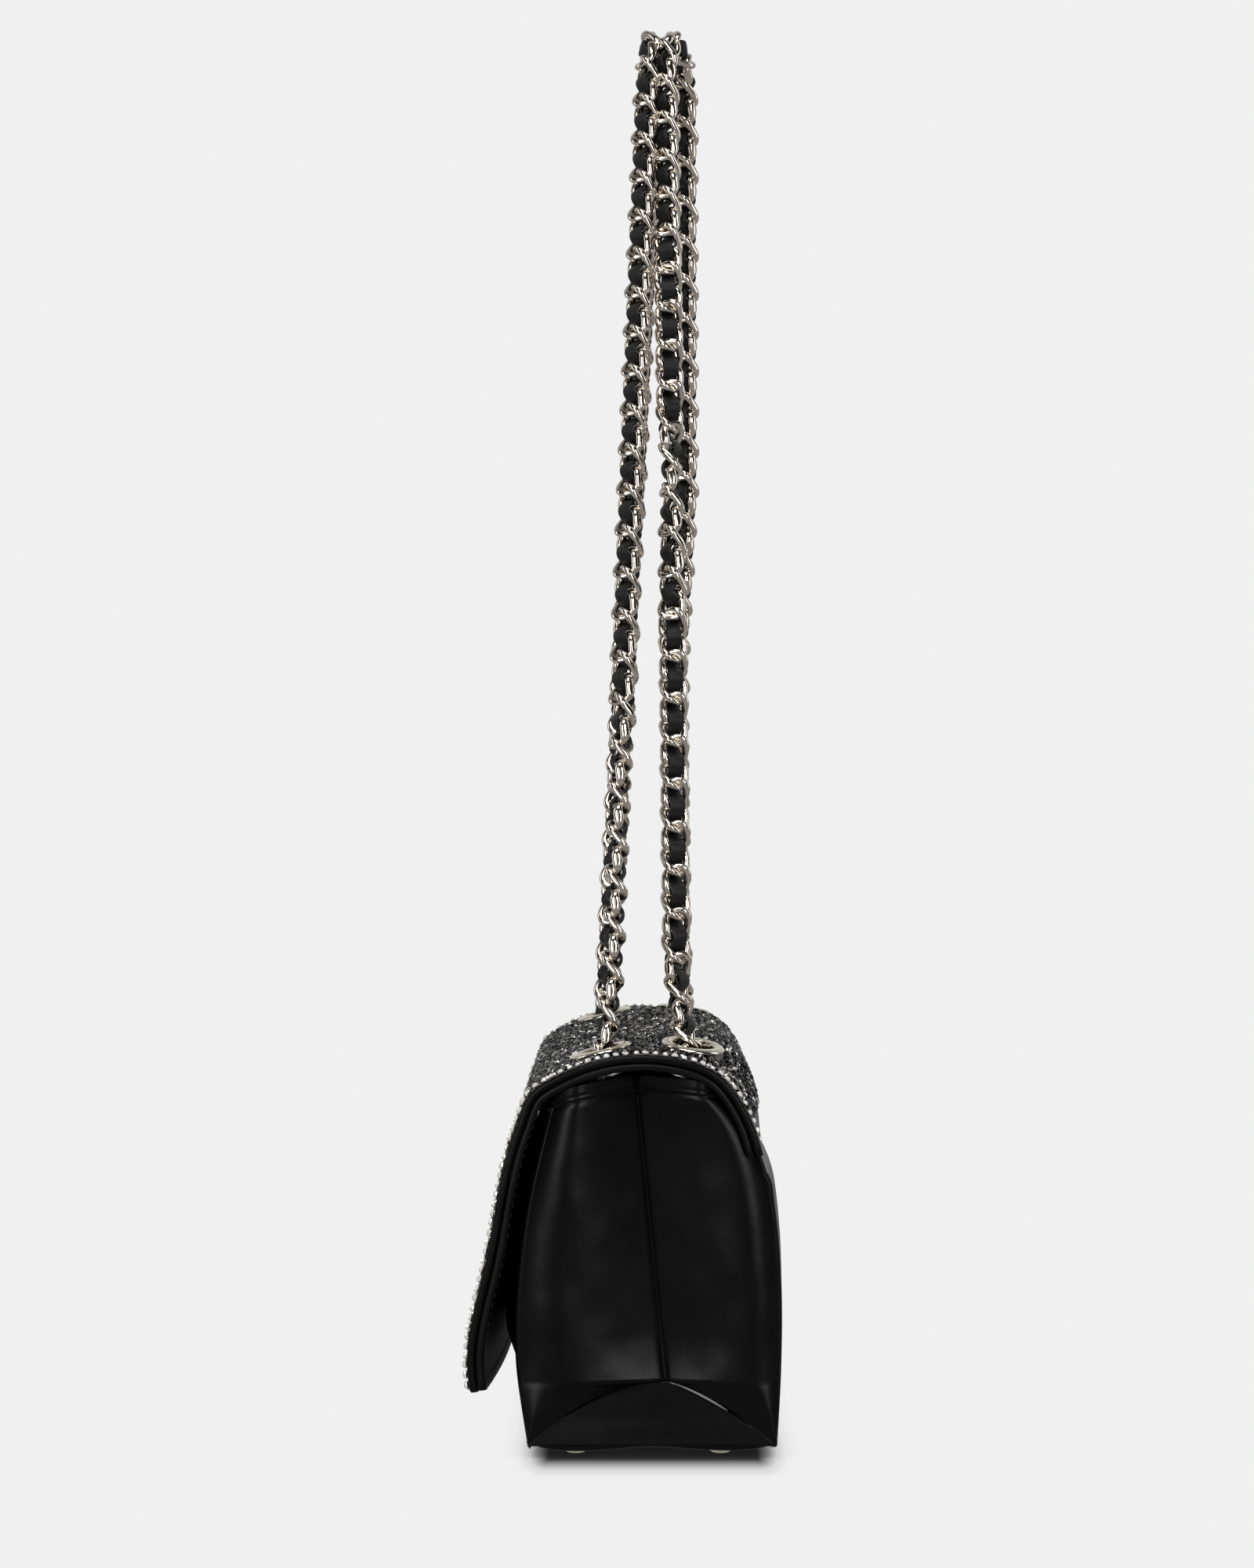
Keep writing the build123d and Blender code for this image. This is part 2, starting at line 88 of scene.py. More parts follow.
FRONT = [(-27.7, 2.4), (-31.4, 29.0), (-28.8, 70.0), (-21.0, 105.0)]
BACK = [(46.0, 2.4), (47.3, 26.5), (47.1, 52.0), (45.2, 74.0)]
BACK += [(43.6, 83.5), (39.0, 88.4), (36.0, 97.8), (28.2, 108.2)]
GUSSET_BACK = BACK[:4] + [(42.6, 86.0), (37.4, 97.8), (28.2, 108.2)]
FOLD = (28.6, 113.8)
FLAP = [(-45.0, 19.5), (-45.7, 27.0), (-39.7, 61.0), (-31.5, 97.6), (-26.6, 108.6), (-19.2, 113.3)]
FLAP += [(3.4, 119.4), (12.3, 119.1), FOLD]
TAIL = [FOLD, (38.6, 99.8), (42.0, 89.6)]
SHOULDER, FREE_EDGE, BOW = 108.0, 19.5, 5.0
MAGNET_HEIGHT = 45.0

EYELET_X = 75.0
EYELET_Y = {"front": -6.2, "back": 20.6}
EYELET_BORE, EYELET_FLANGE = 6.3, 9.7

PITCH, TOP_PITCH = 6.75, 6.45
LINK_REACH = 4.475     # from a link's middle to the middle of its end wire
ROOT_HEIGHT, PEAK_HEIGHT = 113.0, 441.3
TURN_RADIUS = 13.0
PEAK_Y = {"front": 7.8, "back": 18.0}
STAGES = {"front": (2, 6, 18), "back": (4, 12, 18)}
INNER_LINKS = 7


# ---- meshes ----

def make(name, points, faces, material, smooth=True):
    """A mesh object from points in millimetres."""
    mesh = bpy.data.meshes.new(name)
    mesh.from_pydata((np.asarray(points, float) * MM).tolist(), [], [list(f) for f in faces])
    mesh.validate()
    mesh.polygons.foreach_set("use_smooth", [smooth] * len(mesh.polygons))
    mesh.materials.append(material)
    piece = bpy.data.objects.new(name, mesh)
    bpy.context.scene.collection.objects.link(piece)
    return piece


def grid_faces(rows, columns, start=0, around=False):
    """Quads over a grid of points stored row by row; `around` closes each row on itself."""
    i, j = np.meshgrid(np.arange(rows - 1), np.arange(columns if around else columns - 1), indexing="ij")
    k = (j + 1) % columns
    quads = np.stack([i * columns + j, i * columns + k, (i + 1) * columns + k, (i + 1) * columns + j], -1)
    return (quads.reshape(-1, 4) + start).tolist()


def closed_faces(rows, columns):
    """Quads over a grid that closes on itself both ways, as an array."""
    i, j = np.meshgrid(np.arange(rows), np.arange(columns), indexing="ij")
    n, m = (i + 1) % rows, (j + 1) % columns
    return np.stack([i * columns + j, i * columns + m, n * columns + m, n * columns + j], -1).reshape(-1, 4)


def apply_modifiers(piece):
    """Makes the evaluated mesh the piece's own."""
    bpy.context.view_layer.update()
    evaluated = piece.evaluated_get(bpy.context.evaluated_depsgraph_get())
    mesh = bpy.data.meshes.new_from_object(evaluated)
    piece.modifiers.clear()
    piece.data = mesh
    return piece


def thicken(piece, thickness, offset=-1.0):
    """Gives a sheet its thickness: behind its face, or in front of it with an offset of 1."""
    modifier = piece.modifiers.new("thickness", "SOLIDIFY")
    modifier.thickness = thickness * MM
    modifier.offset = offset
    return apply_modifiers(piece)


def merge(piece, distance=0.01):
    """Joins vertices that coincide."""
    modifier = piece.modifiers.new("merge", "WELD")
    modifier.merge_threshold = distance * MM
    return apply_modifiers(piece)


def smoothstep(value):
    """An eased rise from 0 to 1."""
    value = np.clip(value, 0, 1)
    return value * value * (3 - 2 * value)


def bell(value, width):
    """A smooth peak, 1 at zero, that fades over about `width` either way."""
    return np.exp(-(value / width) ** 2)


def unit(vectors):
    """Vectors brought to length 1."""
    return vectors / np.linalg.norm(vectors, axis=-1, keepdims=True)


def circle(count):
    """Evenly spaced angles once round."""
    return np.linspace(0, 2 * math.pi, count, endpoint=False)


def hoops(angle, side, out):
    """Rings of offsets, one about each point of a line."""
    return np.cos(angle)[None, :, None] * side[:, None] + np.sin(angle)[None, :, None] * out[:, None]


def stacked(x, y, z):
    """Points from coordinates that are arrays or single values."""
    return np.stack(np.broadcast_arrays(x, y, z), -1)


def run_length(points):
    """Distance along a line of points from its first one."""
    return np.concatenate([[0], np.cumsum(np.linalg.norm(np.diff(points, axis=0), axis=1))])


WAVES = 6


def wander(points, size, amount, seed=0):
    """Slow, smooth unevenness: a few crossed waves of about one size."""
    draws = np.random.default_rng(seed)
    total = np.zeros(len(points))
    for _ in range(WAVES):
        direction = unit(draws.normal(size=3))
        pace = draws.uniform(0.6, 1.5)
        start = draws.uniform(0, 6.3)
        total += np.sin(points @ direction * (2 * math.pi / size) * pace + start)
    return total * amount / WAVES


# ---- profiles ----

SAMPLES = 24           # points worked out between each two given ones


class Profile:
    """A smooth open line in the Y-Z plane through a few points, with distance along it."""

    def __init__(self, points, outward=1):
        points = np.array(points, float)
        gaps = np.linalg.norm(np.diff(points, axis=0), axis=1)
        knots = run_length(points)
        slopes = np.gradient(points, knots, axis=0)
        samples = []
        for i, gap in enumerate(gaps):
            t = np.linspace(0, 1, SAMPLES, endpoint=False)[:, None]
            start = (2 * t**3 - 3 * t**2 + 1) * points[i] + (t**3 - 2 * t**2 + t) * gap * slopes[i]
            end = (3 * t**2 - 2 * t**3) * points[i + 1] + (t**3 - t**2) * gap * slopes[i + 1]
            samples.append(start + end)
        self.points = np.concatenate(samples + [points[-1:]])
        self.distance = run_length(self.points)
        along = unit(np.gradient(self.points, self.distance, axis=0))
        self.normals = np.stack([-along[:, 1], along[:, 0]], -1) * outward
        self.length = self.distance[-1]

    def at(self, along):
        """Y, Z and the outward normal at distances along the line."""
        columns = [*self.points.T, *self.normals.T]
        return [np.interp(along, self.distance, column) for column in columns]

    def nearest(self, y, z):
        """Distance along the line of its point nearest (y, z)."""
        return self.distance[np.argmin(np.hypot(self.points[:, 0] - y, self.points[:, 1] - z))]

    def y_at(self, z):
        """Y where the line passes height z, for a line that rises all the way."""
        return np.interp(z, self.points[:, 1], self.points[:, 0])


def plain_surface(profile):
    """Points of a profile run straight along X, at a depth under its face."""
    def point(along, x, depth=0.0):
        y, z, ny, nz = profile.at(along)
        return stacked(x, y - ny * depth, z - nz * depth)
    return point


flap_line = Profile(FLAP + TAIL[1:])
FOLD_AT = flap_line.nearest(*FOLD)
front_line = Profile(FRONT)
back_line = Profile(BACK, outward=-1)
gusset_back_line = Profile(GUSSET_BACK, outward=-1)

FULLNESS = 6.0         # how far the flap's back shoulder swells between the ends
FULL_SPREAD = 19.0
FULL_PAST_FOLD = 3.0
FULL_FADE = 46.0       # length at each end over which it fades out


def flap_surface(along, x, depth=0.0):
    """Points on the flap: bowed in at the front by its magnet, fuller over the back shoulder."""
    y, z, ny, nz = flap_line.at(along)
    ends = smoothstep((HALF - np.abs(x)) / FULL_FADE)
    swell = FULLNESS * bell(along - FOLD_AT - FULL_PAST_FOLD, FULL_SPREAD) * ends
    y = y + ny * (swell - depth)
    z = z + nz * (swell - depth)
    drop = np.clip((SHOULDER - z) / (SHOULDER - FREE_EDGE), 0, 1) * (y < 0)
    y = y + BOW * drop * (1 - (x / HALF) ** 2)
    return stacked(x, y, z)


def surface_frame(surface, along, x):
    """Point, direction along the profile, and outward normal of a surface."""
    step = 0.4
    point = surface(along, x)
    up = unit(surface(along + step, x) - surface(along - step, x))
    side = unit(surface(along, x + step) - surface(along, x - step))
    return point, up, unit(np.cross(up, side)) * -1


def slab(name, surface, start, end, depth, thick, half, material, corner=2.5):
    """A board under a surface, with rounded rims all the way round."""
    r = thick / 2
    turns = np.linspace(0.2, math.pi / 2, 5)
    near = start + r * (1 - np.sin(turns))
    far = end - r * (1 - np.sin(turns[::-1]))
    count = max(int((end - start) / 1.3), 8)
    stations = np.concatenate([near[:-1], np.linspace(near[-1], far[0], count), far[1:]])
    nose = np.cos(math.pi / 2 - turns[:-1])
    swell = np.concatenate([nose, np.ones(count), nose[::-1]]) * r
    near_end = np.minimum(stations - start, end - stations)
    inward = np.clip((corner - near_end) / corner, 0, 1)
    halves = half - corner * (1 - np.sqrt(1 - inward**2)) - r

    across, rim = 61, 7
    flat = np.linspace(-1, 1, across)
    right = np.linspace(math.pi / 2, -math.pi / 2, rim + 2)[1:-1]
    left = np.linspace(-math.pi / 2, -3 * math.pi / 2, rim + 2)[1:-1]
    share = np.concatenate([flat, np.ones(rim), flat[::-1], -np.ones(rim)])
    turn = np.concatenate([np.full(across, math.pi / 2), right, np.full(across, -math.pi / 2), left])
    rows = []
    for at, h, wide in zip(stations, swell, halves):
        x = share * wide + h * np.cos(turn) * (np.abs(np.cos(turn)) > 1e-6)
        rows.append(surface(np.full_like(x, at), x, depth + r - h * np.sin(turn)))
    loop = len(share)
    half_loop = loop // 2
    points = np.concatenate(rows)
    faces = grid_faces(len(rows), loop, around=True)
    for row in (0, len(rows) - 1):
        ids = [row * loop + (k - (rim + 1) // 2) % loop for k in range(loop)]
        cap = [[ids[i], ids[i + 1], ids[loop - i - 1], ids[loop - i]] for i in range(1, half_loop - 1)]
        cap += [[ids[0], ids[1], ids[loop - 1]], [ids[half_loop], ids[half_loop + 1], ids[half_loop - 1]]]
        faces += [c[::-1] for c in cap] if row else cap
    return make(name, points, faces, material)


# ---- materials ----

class Paint:
    """A node material being put together."""

    def __init__(self, name, **settings):
        self.material = bpy.data.materials.new(name)
        self.material.use_nodes = True
        self.nodes, self.links = self.material.node_tree.nodes, self.material.node_tree.links
        self.shader = self.nodes["Principled BSDF"]
        for socket, value in settings.items():
            self.shader.inputs[socket.replace("_", " ")].default_value = value

    def add(self, kind, **inputs):
        """A new node with some of its inputs fed."""
        node = self.nodes.new(kind)
        for socket, value in inputs.items():
            self.feed(node.inputs[socket.replace("_", " ")], value)
        return node

    def feed(self, socket, value):
        """Links a node's first output, or a socket, or sets a plain value."""
        if isinstance(value, bpy.types.Node):
            self.links.new(value.outputs[0], socket)
        elif isinstance(value, bpy.types.NodeSocket):
            self.links.new(value, socket)
        else:
            socket.default_value = value

    def place(self, scale=(1000, 1000, 1000)):
        """Object coordinates in millimetres, or stretched."""
        coordinates = self.nodes.new("ShaderNodeTexCoord")
        mapping = self.add("ShaderNodeMapping", Vector=coordinates.outputs["Object"])
        mapping.inputs["Scale"].default_value = scale
        return mapping

    def noise(self, size, detail=2.0, scale=(1000, 1000, 1000)):
        """Noise with features of about `size` millimetres."""
        return self.add("ShaderNodeTexNoise", Vector=self.place(scale), Scale=1 / size, Detail=detail)

    def attribute(self, name):
        """A mesh attribute's value."""
        node = self.nodes.new("ShaderNodeAttribute")
        node.attribute_name = name
        return node.outputs["Fac"]

    def ramp(self, value, stops):
        """Colours at places from 0 to 1."""
        node = self.add("ShaderNodeValToRGB", Fac=value)
        set_stops(node, stops)
        return node

    def math(self, operation, *terms):
        """A sum or other step on values or sockets."""
        node = self.nodes.new("ShaderNodeMath")
        node.operation = operation
        for socket, term in zip(node.inputs, terms):
            self.feed(socket, term)
        return node

    def bump(self, height, distance, strength=1.0, under=None):
        """A bump `distance` millimetres deep."""
        node = self.add("ShaderNodeBump", Height=height, Strength=strength, Distance=distance * MM)
        if under:
            self.feed(node.inputs["Normal"], under)
        return node

    def use(self, **inputs):
        """Feeds the shader, and gives back the finished material."""
        for socket, value in inputs.items():
            self.feed(self.shader.inputs[socket.replace("_", " ")], value)
        return self.material


def set_stops(node, stops):
    """Colours of a ramp node."""
    for i, (at, colour) in enumerate(stops):
        stop = node.color_ramp.elements[i] if i < 2 else node.color_ramp.elements.new(at)
        stop.position, stop.color = at, (*colour, 1)


def grey(value, warm=0.0):
    """A grey, or a slightly warm one."""
    return (value * (1 + warm), value, value * (1 - warm))


ALONG_WARP, ALONG_WEFT = (1000, 1000, 120), (140, 140, 1000)
WEAVE_GLOSS = 0.07     # how much the weave alters the satin's roughness


def satin(name, dark, light, roughness=0.42, thread=0.32, crease=0.25):
    """Tightly woven satin: fine warp lines, slow wrinkles and an uneven lustre."""
    paint = Paint(name, Specular_IOR_Level=0.13)
    cloudy = paint.noise(14.0, 3.0)
    warp = paint.noise(thread, 1.0, ALONG_WARP)
    weft = paint.noise(thread, 1.0, ALONG_WEFT)
    weave = paint.math("ADD", warp.outputs["Fac"], weft.outputs["Fac"])
    tone = paint.ramp(cloudy.outputs["Fac"], [(0.3, dark), (0.75, light)])
    gloss = paint.math("MULTIPLY_ADD", weave, WEAVE_GLOSS, roughness - WEAVE_GLOSS)
    fine = paint.bump(weave, 0.012, 0.5)
    folds = paint.noise(9.0, 2.0)
    soft = paint.bump(folds.outputs["Fac"], crease, 0.35, under=fine)
    return paint.use(Base_Color=tone, Roughness=gloss, Normal=soft)


def metal(name, colour, roughness, wear=0.04):
    """Plated metal with faint hairlines and handling marks."""
    paint = Paint(name, Metallic=1.0)
    marks = paint.noise(1.6, 4.0, (1000, 1000, 400))
    smudge = paint.noise(7.0, 2.0)
    smudged = tuple(0.93 * channel for channel in colour)
    tone = paint.ramp(smudge.outputs["Fac"], [(0.35, smudged), (0.7, colour)])
    gloss = paint.math("MULTIPLY_ADD", marks.outputs["Fac"], wear, roughness)
    hair = paint.bump(marks.outputs["Fac"], 0.002, 0.1)
    return paint.use(Base_Color=tone, Roughness=gloss, Normal=hair)


STONE_TONES = [(0.0, (0.026, 0.026, 0.028)), (0.45, (0.12, 0.12, 0.122))]
STONE_TONES += [(0.75, (0.4, 0.39, 0.375)), (1.0, (0.95, 0.93, 0.88))]


def crystal(name):
    """Foiled glass stones, each with its own tone from hematite grey to clear."""
    paint = Paint(name, Metallic=0.95, Coat_Weight=0.2, Coat_Roughness=0.03,
                  Specular_Tint=(0.45, 0.45, 0.45, 1))
    colour = paint.ramp(paint.attribute("tone"), STONE_TONES)
    dust = paint.noise(0.7, 2.0)
    gloss = paint.math("MULTIPLY_ADD", dust.outputs["Fac"], 0.12, 0.05)
    return paint.use(Base_Color=colour, Roughness=gloss)


def clear_crystal(name):
    """Clear foiled stones, a little champagne."""
    paint = Paint(name, Metallic=0.25, Coat_Weight=0.8, Coat_Roughness=0.03, Roughness=0.08)
    tint = paint.noise(5.0, 1.0)
    colour = paint.ramp(tint.outputs["Fac"], [(0.35, (0.95, 0.94, 0.92)), (0.7, (0.93, 0.87, 0.78))])
    return paint.use(Base_Color=colour)


RIB_PITCH = 0.42


def ribbon_leather(name):
    """Black ribbon with fine lengthwise ribs."""
    paint = Paint(name, Specular_IOR_Level=0.28)
    rib = paint.math("SINE", paint.math("MULTIPLY", paint.attribute("across"), 2 * math.pi / RIB_PITCH))
    grain = paint.noise(0.5, 3.0)
    tone = paint.ramp(grain.outputs["Fac"], [(0.3, grey(0.005)), (0.8, grey(0.013))])
    height = paint.math("MULTIPLY_ADD", rib, 0.3, grain.outputs["Fac"])
    return paint.use(Base_Color=tone, Roughness=0.46, Normal=paint.bump(height, 0.06, 0.8))


def board(name):
    """Grey pressed board."""
    paint = Paint(name, Roughness=0.85)
    fibre = paint.noise(1.2, 4.0)
    tone = paint.ramp(fibre.outputs["Fac"], [(0.3, (0.2, 0.18, 0.15)), (0.7, (0.32, 0.29, 0.25))])
    return paint.use(Base_Color=tone, Normal=paint.bump(fibre.outputs["Fac"], 0.1, 0.6))


BLACK_SATIN = satin("black_satin", grey(0.0015, 0.03), grey(0.0035, 0.03), 0.28)
UNDERSIDE_SATIN = satin("flap_lining_satin", grey(0.003, 0.03), grey(0.006, 0.03), 0.3)
# Pale grey satin for the base folds' raised edges: a painted highlight on satin that is really black.
PAINTED_HIGHLIGHT_SATIN = satin("painted_highlight_satin", grey(0.2), grey(0.3), 0.24, 0.32, 0.0)
POCKET_CLOTH = satin("pocket_cloth", grey(0.02, 0.02), grey(0.035, 0.02), 0.5, 0.5, 0.5)
THREAD = satin("thread", grey(0.02), grey(0.04), 0.55, 0.15, 0.0)
CRYSTAL = crystal("foiled_crystal")
CLEAR = clear_crystal("clear_crystal")
CHAIN = metal("champagne_plate", (0.74, 0.675, 0.595), 0.11)
GOLD = metal("pale_gold", (0.88, 0.82, 0.69), 0.14)
STEEL = metal("plated_steel", (0.5, 0.49, 0.48), 0.3)
RIBBON = ribbon_leather("ribbon")
BOARD = board("pressed_board")


# ---- holes and turned metal ----

def eyelet_frame(side, sign):
    """Centre, up-slope direction and outward normal of an eyelet on the flap's face."""
    y, z = flap_line.points.T
    along = flap_line.distance[np.argmin(np.where(z < SHOULDER, np.inf, np.abs(y - EYELET_Y[side])))]
    point, up, normal = surface_frame(flap_surface, np.array([along]), np.array([sign * EYELET_X]))
    across = unit(np.cross(up[0], normal[0]))
    return point[0], across, up[0], normal[0]


EYELETS = {(side, hand): eyelet_frame(side, sign)
           for side in SIDES for hand, sign in HANDS.items()}


def turned(name, outline, place, material, sides=72):
    """A closed outline of (radius, height) turned about a place's normal."""
    origin, across, up, normal = place
    angle = circle(sides)
    ring = np.cos(angle)[:, None] * across + np.sin(angle)[:, None] * up
    outline = np.array(outline, float)
    r, h = outline.T
    if (r * np.roll(h, -1) - np.roll(r, -1) * h).sum() > 0:
        outline = outline[::-1]
    points = origin + ring[:, None] * outline[None, :, :1] + normal * outline[None, :, 1:]
    faces = closed_faces(sides, len(outline)).tolist()
    return merge(make(name, points.reshape(-1, 3), faces, material))


def pierce(piece, radius, sides=48, below=16, above=9):
    """Cuts the four eyelet holes, from below the flap's face to above it."""
    angle = circle(sides)
    tools = []
    for origin, across, up, normal in EYELETS.values():
        ring = origin + radius * (np.cos(angle)[:, None] * across + np.sin(angle)[:, None] * up)
        points = np.concatenate([ring - below * normal, ring + above * normal])
        ends = [list(range(sides))[::-1], list(range(sides, 2 * sides))]
        faces = grid_faces(2, sides, around=True) + ends
        tools.append(make("bore", points, faces, BLACK_SATIN))
        modifier = piece.modifiers.new("hole", "BOOLEAN")
        modifier.operation, modifier.solver, modifier.object = "DIFFERENCE", "EXACT", tools[-1]
    apply_modifiers(piece)
    for tool in tools:
        bpy.data.objects.remove(tool)
    return piece


def arc(centre, radius, start, end, steps):
    """Points of an arc, angles in degrees."""
    turn = np.radians(np.linspace(start, end, steps))
    return list(zip(centre[0] + radius * np.cos(turn), centre[1] + radius * np.sin(turn)))


def make_eyelets():
    """Eyelets with rounded flanges, each rolled over under the flap."""
    under = -FLAP_DEPTH
    barrel = EYELET_BORE + 0.5
    crown = [(EYELET_BORE - 0.05, 0.5), (EYELET_BORE + 0.15, 1.0), (EYELET_BORE + 0.7, 1.4)]
    crown += [(EYELET_BORE + 1.6, 1.5), (EYELET_BORE + 2.5, 1.3)]
    crown += [(EYELET_FLANGE - 0.3, 0.9), (EYELET_FLANGE, 0.45)]
    lower = [(EYELET_FLANGE - 0.1, 0.15), (barrel, 0.15), (barrel, under - 0.5)]
    roll = arc((barrel, under - 0.7), 0.5, 60, -180, 12)
    for (side, hand), place in EYELETS.items():
        piece = turned(f"rolled_eyelet_{side}_{hand}", crown + lower + roll, place, GOLD)
        smooth_edges(piece)
        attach(piece, "flap")
        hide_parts(f"eyelet_{side}_{hand}")


def smooth_edges(piece):
    """One level of subdivision, applied."""
    modifier = piece.modifiers.new("smooth", "SUBSURF")
    modifier.levels = modifier.render_levels = 1
    return apply_modifiers(piece)


FOOT_HEIGHT = 2.3
FOOT_SPREAD = 1.025    # the feet show a little nearer the ends than in the CAD


def make_feet():
    """Polished domed studs."""
    for side in SIDES:
        for hand in HANDS:
            node = f"foot_{side}_{hand}"
            low, high = (np.array(corner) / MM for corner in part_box(node))
            radius = (high[0] - low[0]) / 2
            origin = np.array([(low[0] + high[0]) / 2 * FOOT_SPREAD, (low[1] + high[1]) / 2, low[2]])
            place = (origin, *np.eye(3))
            dome = [(0.0, 0.0), (1.9, 0.0), (2.6, 0.12), (3.3, 0.55), (3.85, 1.2), (4.1, 1.8)]
            dome += [(radius, FOOT_HEIGHT), (0.0, FOOT_HEIGHT)]
            piece = turned(f"domed_stud_{side}_{hand}", dome, place, GOLD)
            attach(piece, "bag_body")
            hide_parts(node)


# ---- satin body ----

FLAP_FRONT_Y = -20.0   # the flap's front lies before this
PAD_END, PAD_FADE = 16.0, 40.0      # bare length at each end, and where the padding grows
PAD_FOOT, PAD_RISE = 12.0, 22.0
SNAP_HOLLOW = 12.5
BACK_FULL = 3.6


def flap_inner_y(z):
    """Y of the flap's inner face at mid length, at height z of its front."""
    along = flap_line.distance[flap_line.points[:, 0] < FLAP_FRONT_Y]
    inner = flap_surface(along, np.zeros_like(along), FLAP_DEPTH)
    order = np.argsort(inner[:, 2])
    return np.interp(z, inner[order, 2], inner[order, 1])


def front_surface(along, x, depth=0.0):
    """The front board, padded out to the closed flap behind its magnet."""
    y, z, ny, nz = front_line.at(along)
    room = np.maximum(y - flap_inner_y(z) - GAP, 0)
    full = smoothstep((HALF - PAD_END - np.abs(x)) / PAD_FADE) * smoothstep((z - PAD_FOOT) / PAD_RISE)
    full = full * smoothstep((FRONT[-1][1] - z) / 2)
    full = full * (1 - np.exp(-(np.hypot(x, z - MAGNET_HEIGHT) / SNAP_HOLLOW) ** 6))
    return stacked(x, y - room * full - ny * depth, z - nz * depth)


def back_surface(along, x, depth=0.0):
    """The back board, a little full below the tail."""
    y, z, ny, nz = back_line.at(along)
    full = BACK_FULL * np.cos(math.pi * x / LENGTH) * smoothstep((z - 20) / 40) * smoothstep((88 - z) / 14)
    return stacked(x, y + full - ny * depth, z - nz * depth)


def make_panels():
    """Front and back boards, softly full, and the base."""
    boards = {"front": (front_surface, front_line), "back": (back_surface, back_line)}
    for side, (surface, line) in boards.items():
        piece = slab(f"{side}_board", surface, 0.4, line.length, 0, PANEL, PANEL_HALF - 2.0, BLACK_SATIN, 1.5)
        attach(piece, "bag_body")
        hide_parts(f"{side}_panel")
    base_line = Profile([(-27.9, 3.4), (-25.0, 2.5), (9.0, 2.35), (43.0, 2.5), (46.3, 3.4)], outward=-1)
    flat_base = plain_surface(base_line)

    def base_surface(along, x, depth=0.0):
        """The base, a little raised towards its ends."""
        raised = smoothstep((np.abs(x) - 84) / 10)[:, None]
        return flat_base(along, x, depth) + raised * (0, 0, 1.0)

    piece = slab("base", base_surface, 0, base_line.length, 0, 2.0, PANEL_HALF - 0.4, BLACK_SATIN, 2.0)
    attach(piece, "bag_body")
    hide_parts("base_panel")


FOLD_DEPTH = 9.0       # how far the gusset's seam is tucked in
EDGE_TUCK = 3.0        # and its edges, behind the boards
APEX = 22.0            # height of the point where the seam meets the base fold
GUSSET_FOOT = 4.1
TUCK_FULL = 35.0       # height above which the gusset is tucked in all the way
HEM = 4.6
SEAM_TOP = 113.0
EDGE_TOP = {-1: 106.2, 1: 110.4}    # height of the hem at the front edge and at the back one
RIDGE = {-1: 0.30, 1: 0.24}         # where each half is fullest, from its edge (0) to the seam (1)
EDGE_GAP = 0.1         # between the gusset's edges and the boards
GUSSET_OUT = 0.3       # the gusset's ridges stand this far past the CAD's panels


def seam_y(z):
    """Y of the gusset's seam, which leans back a little towards the floor."""
    return 4.4 + (109.0 - z) * 0.1


def gusset_edge(z, side):
    """Y of the gusset's edge, behind the front board (-1) or the back one (+1)."""
    return front_line.y_at(z) + EDGE_GAP if side < 0 else gusset_back_line.y_at(z) - EDGE_GAP


def crease(z, side):
    """Y of the base fold's crease below the apex, to the front (-1) or back (+1)."""
    share = np.clip((APEX - z) / (APEX - GUSSET_FOOT), 0, 1)
    power = 0.58 if side < 0 else 0.8
    return seam_y(z) + (gusset_edge(z, side) - seam_y(z)) * share**power


def fold_depth(z):
    """How far the seam and the creases are tucked in at height z."""
    rise = np.clip((z - GUSSET_FOOT) / (TUCK_FULL - GUSSET_FOOT), 0, 1)
    return FOLD_DEPTH * (1 - (1 - rise) ** 1.4)


def pillow(share, ridge):
    """How far a gusset's half dips between its soft ridge (0) and the seam (1)."""
    return np.clip((share - ridge) / (1 - ridge), 0, 1) ** 1.35


def gusset_sheet(half_side, heights_low, rises):
    """Rows of points of one half of the gusset, rising from the foot to its hem."""
    share = 1 - (1 - np.linspace(0, 1, 56)) ** 1.5
    ridge, edge_top = RIDGE[half_side], EDGE_TOP[half_side]
    top = edge_top + (SEAM_TOP - edge_top) * share**0.45
    top -= 1.6 * bell((1 - share) * 30, 1.6)
    levels = [np.full_like(share, low) for low in heights_low]
    levels += [APEX + (top - APEX) * rise for rise in rises]
    rows = []
    for z in levels:
        edge = gusset_edge(z, half_side)
        y = edge + (crease(z, half_side) - edge) * share
        slack = 0.35 + 0.65 * smoothstep((z - GUSSET_FOOT) / 30)
        tucked = EDGE_TUCK * slack * (1 - share / ridge) ** 2
        inward = np.where(share < ridge, tucked, fold_depth(z) * pillow(share, ridge))
        inward += 0.4 * bell(1 - share, 0.022) * smoothstep((z - GUSSET_FOOT - 6) / 12)
        below_top = top - z
        groove = 0.4 * bell(below_top - HEM, 0.45) + 0.22 * bell(below_top - HEM + 1.5, 0.4)
        band = 0.35 * smoothstep((HEM - below_top) / 0.8)
        x = PANEL_HALF + GUSSET_OUT - inward - (groove - band)
        points = np.stack([x, y, z], -1)
        points[:, 0] += wander(points, 46.0, 0.8, 5) * np.sin(math.pi * share) * smoothstep((z - APEX) / 20)
        points[:, 0] += wander(points, 17.0, 0.16, 6) * np.sin(math.pi * share)
        rows.append(points)
    return np.stack(rows)


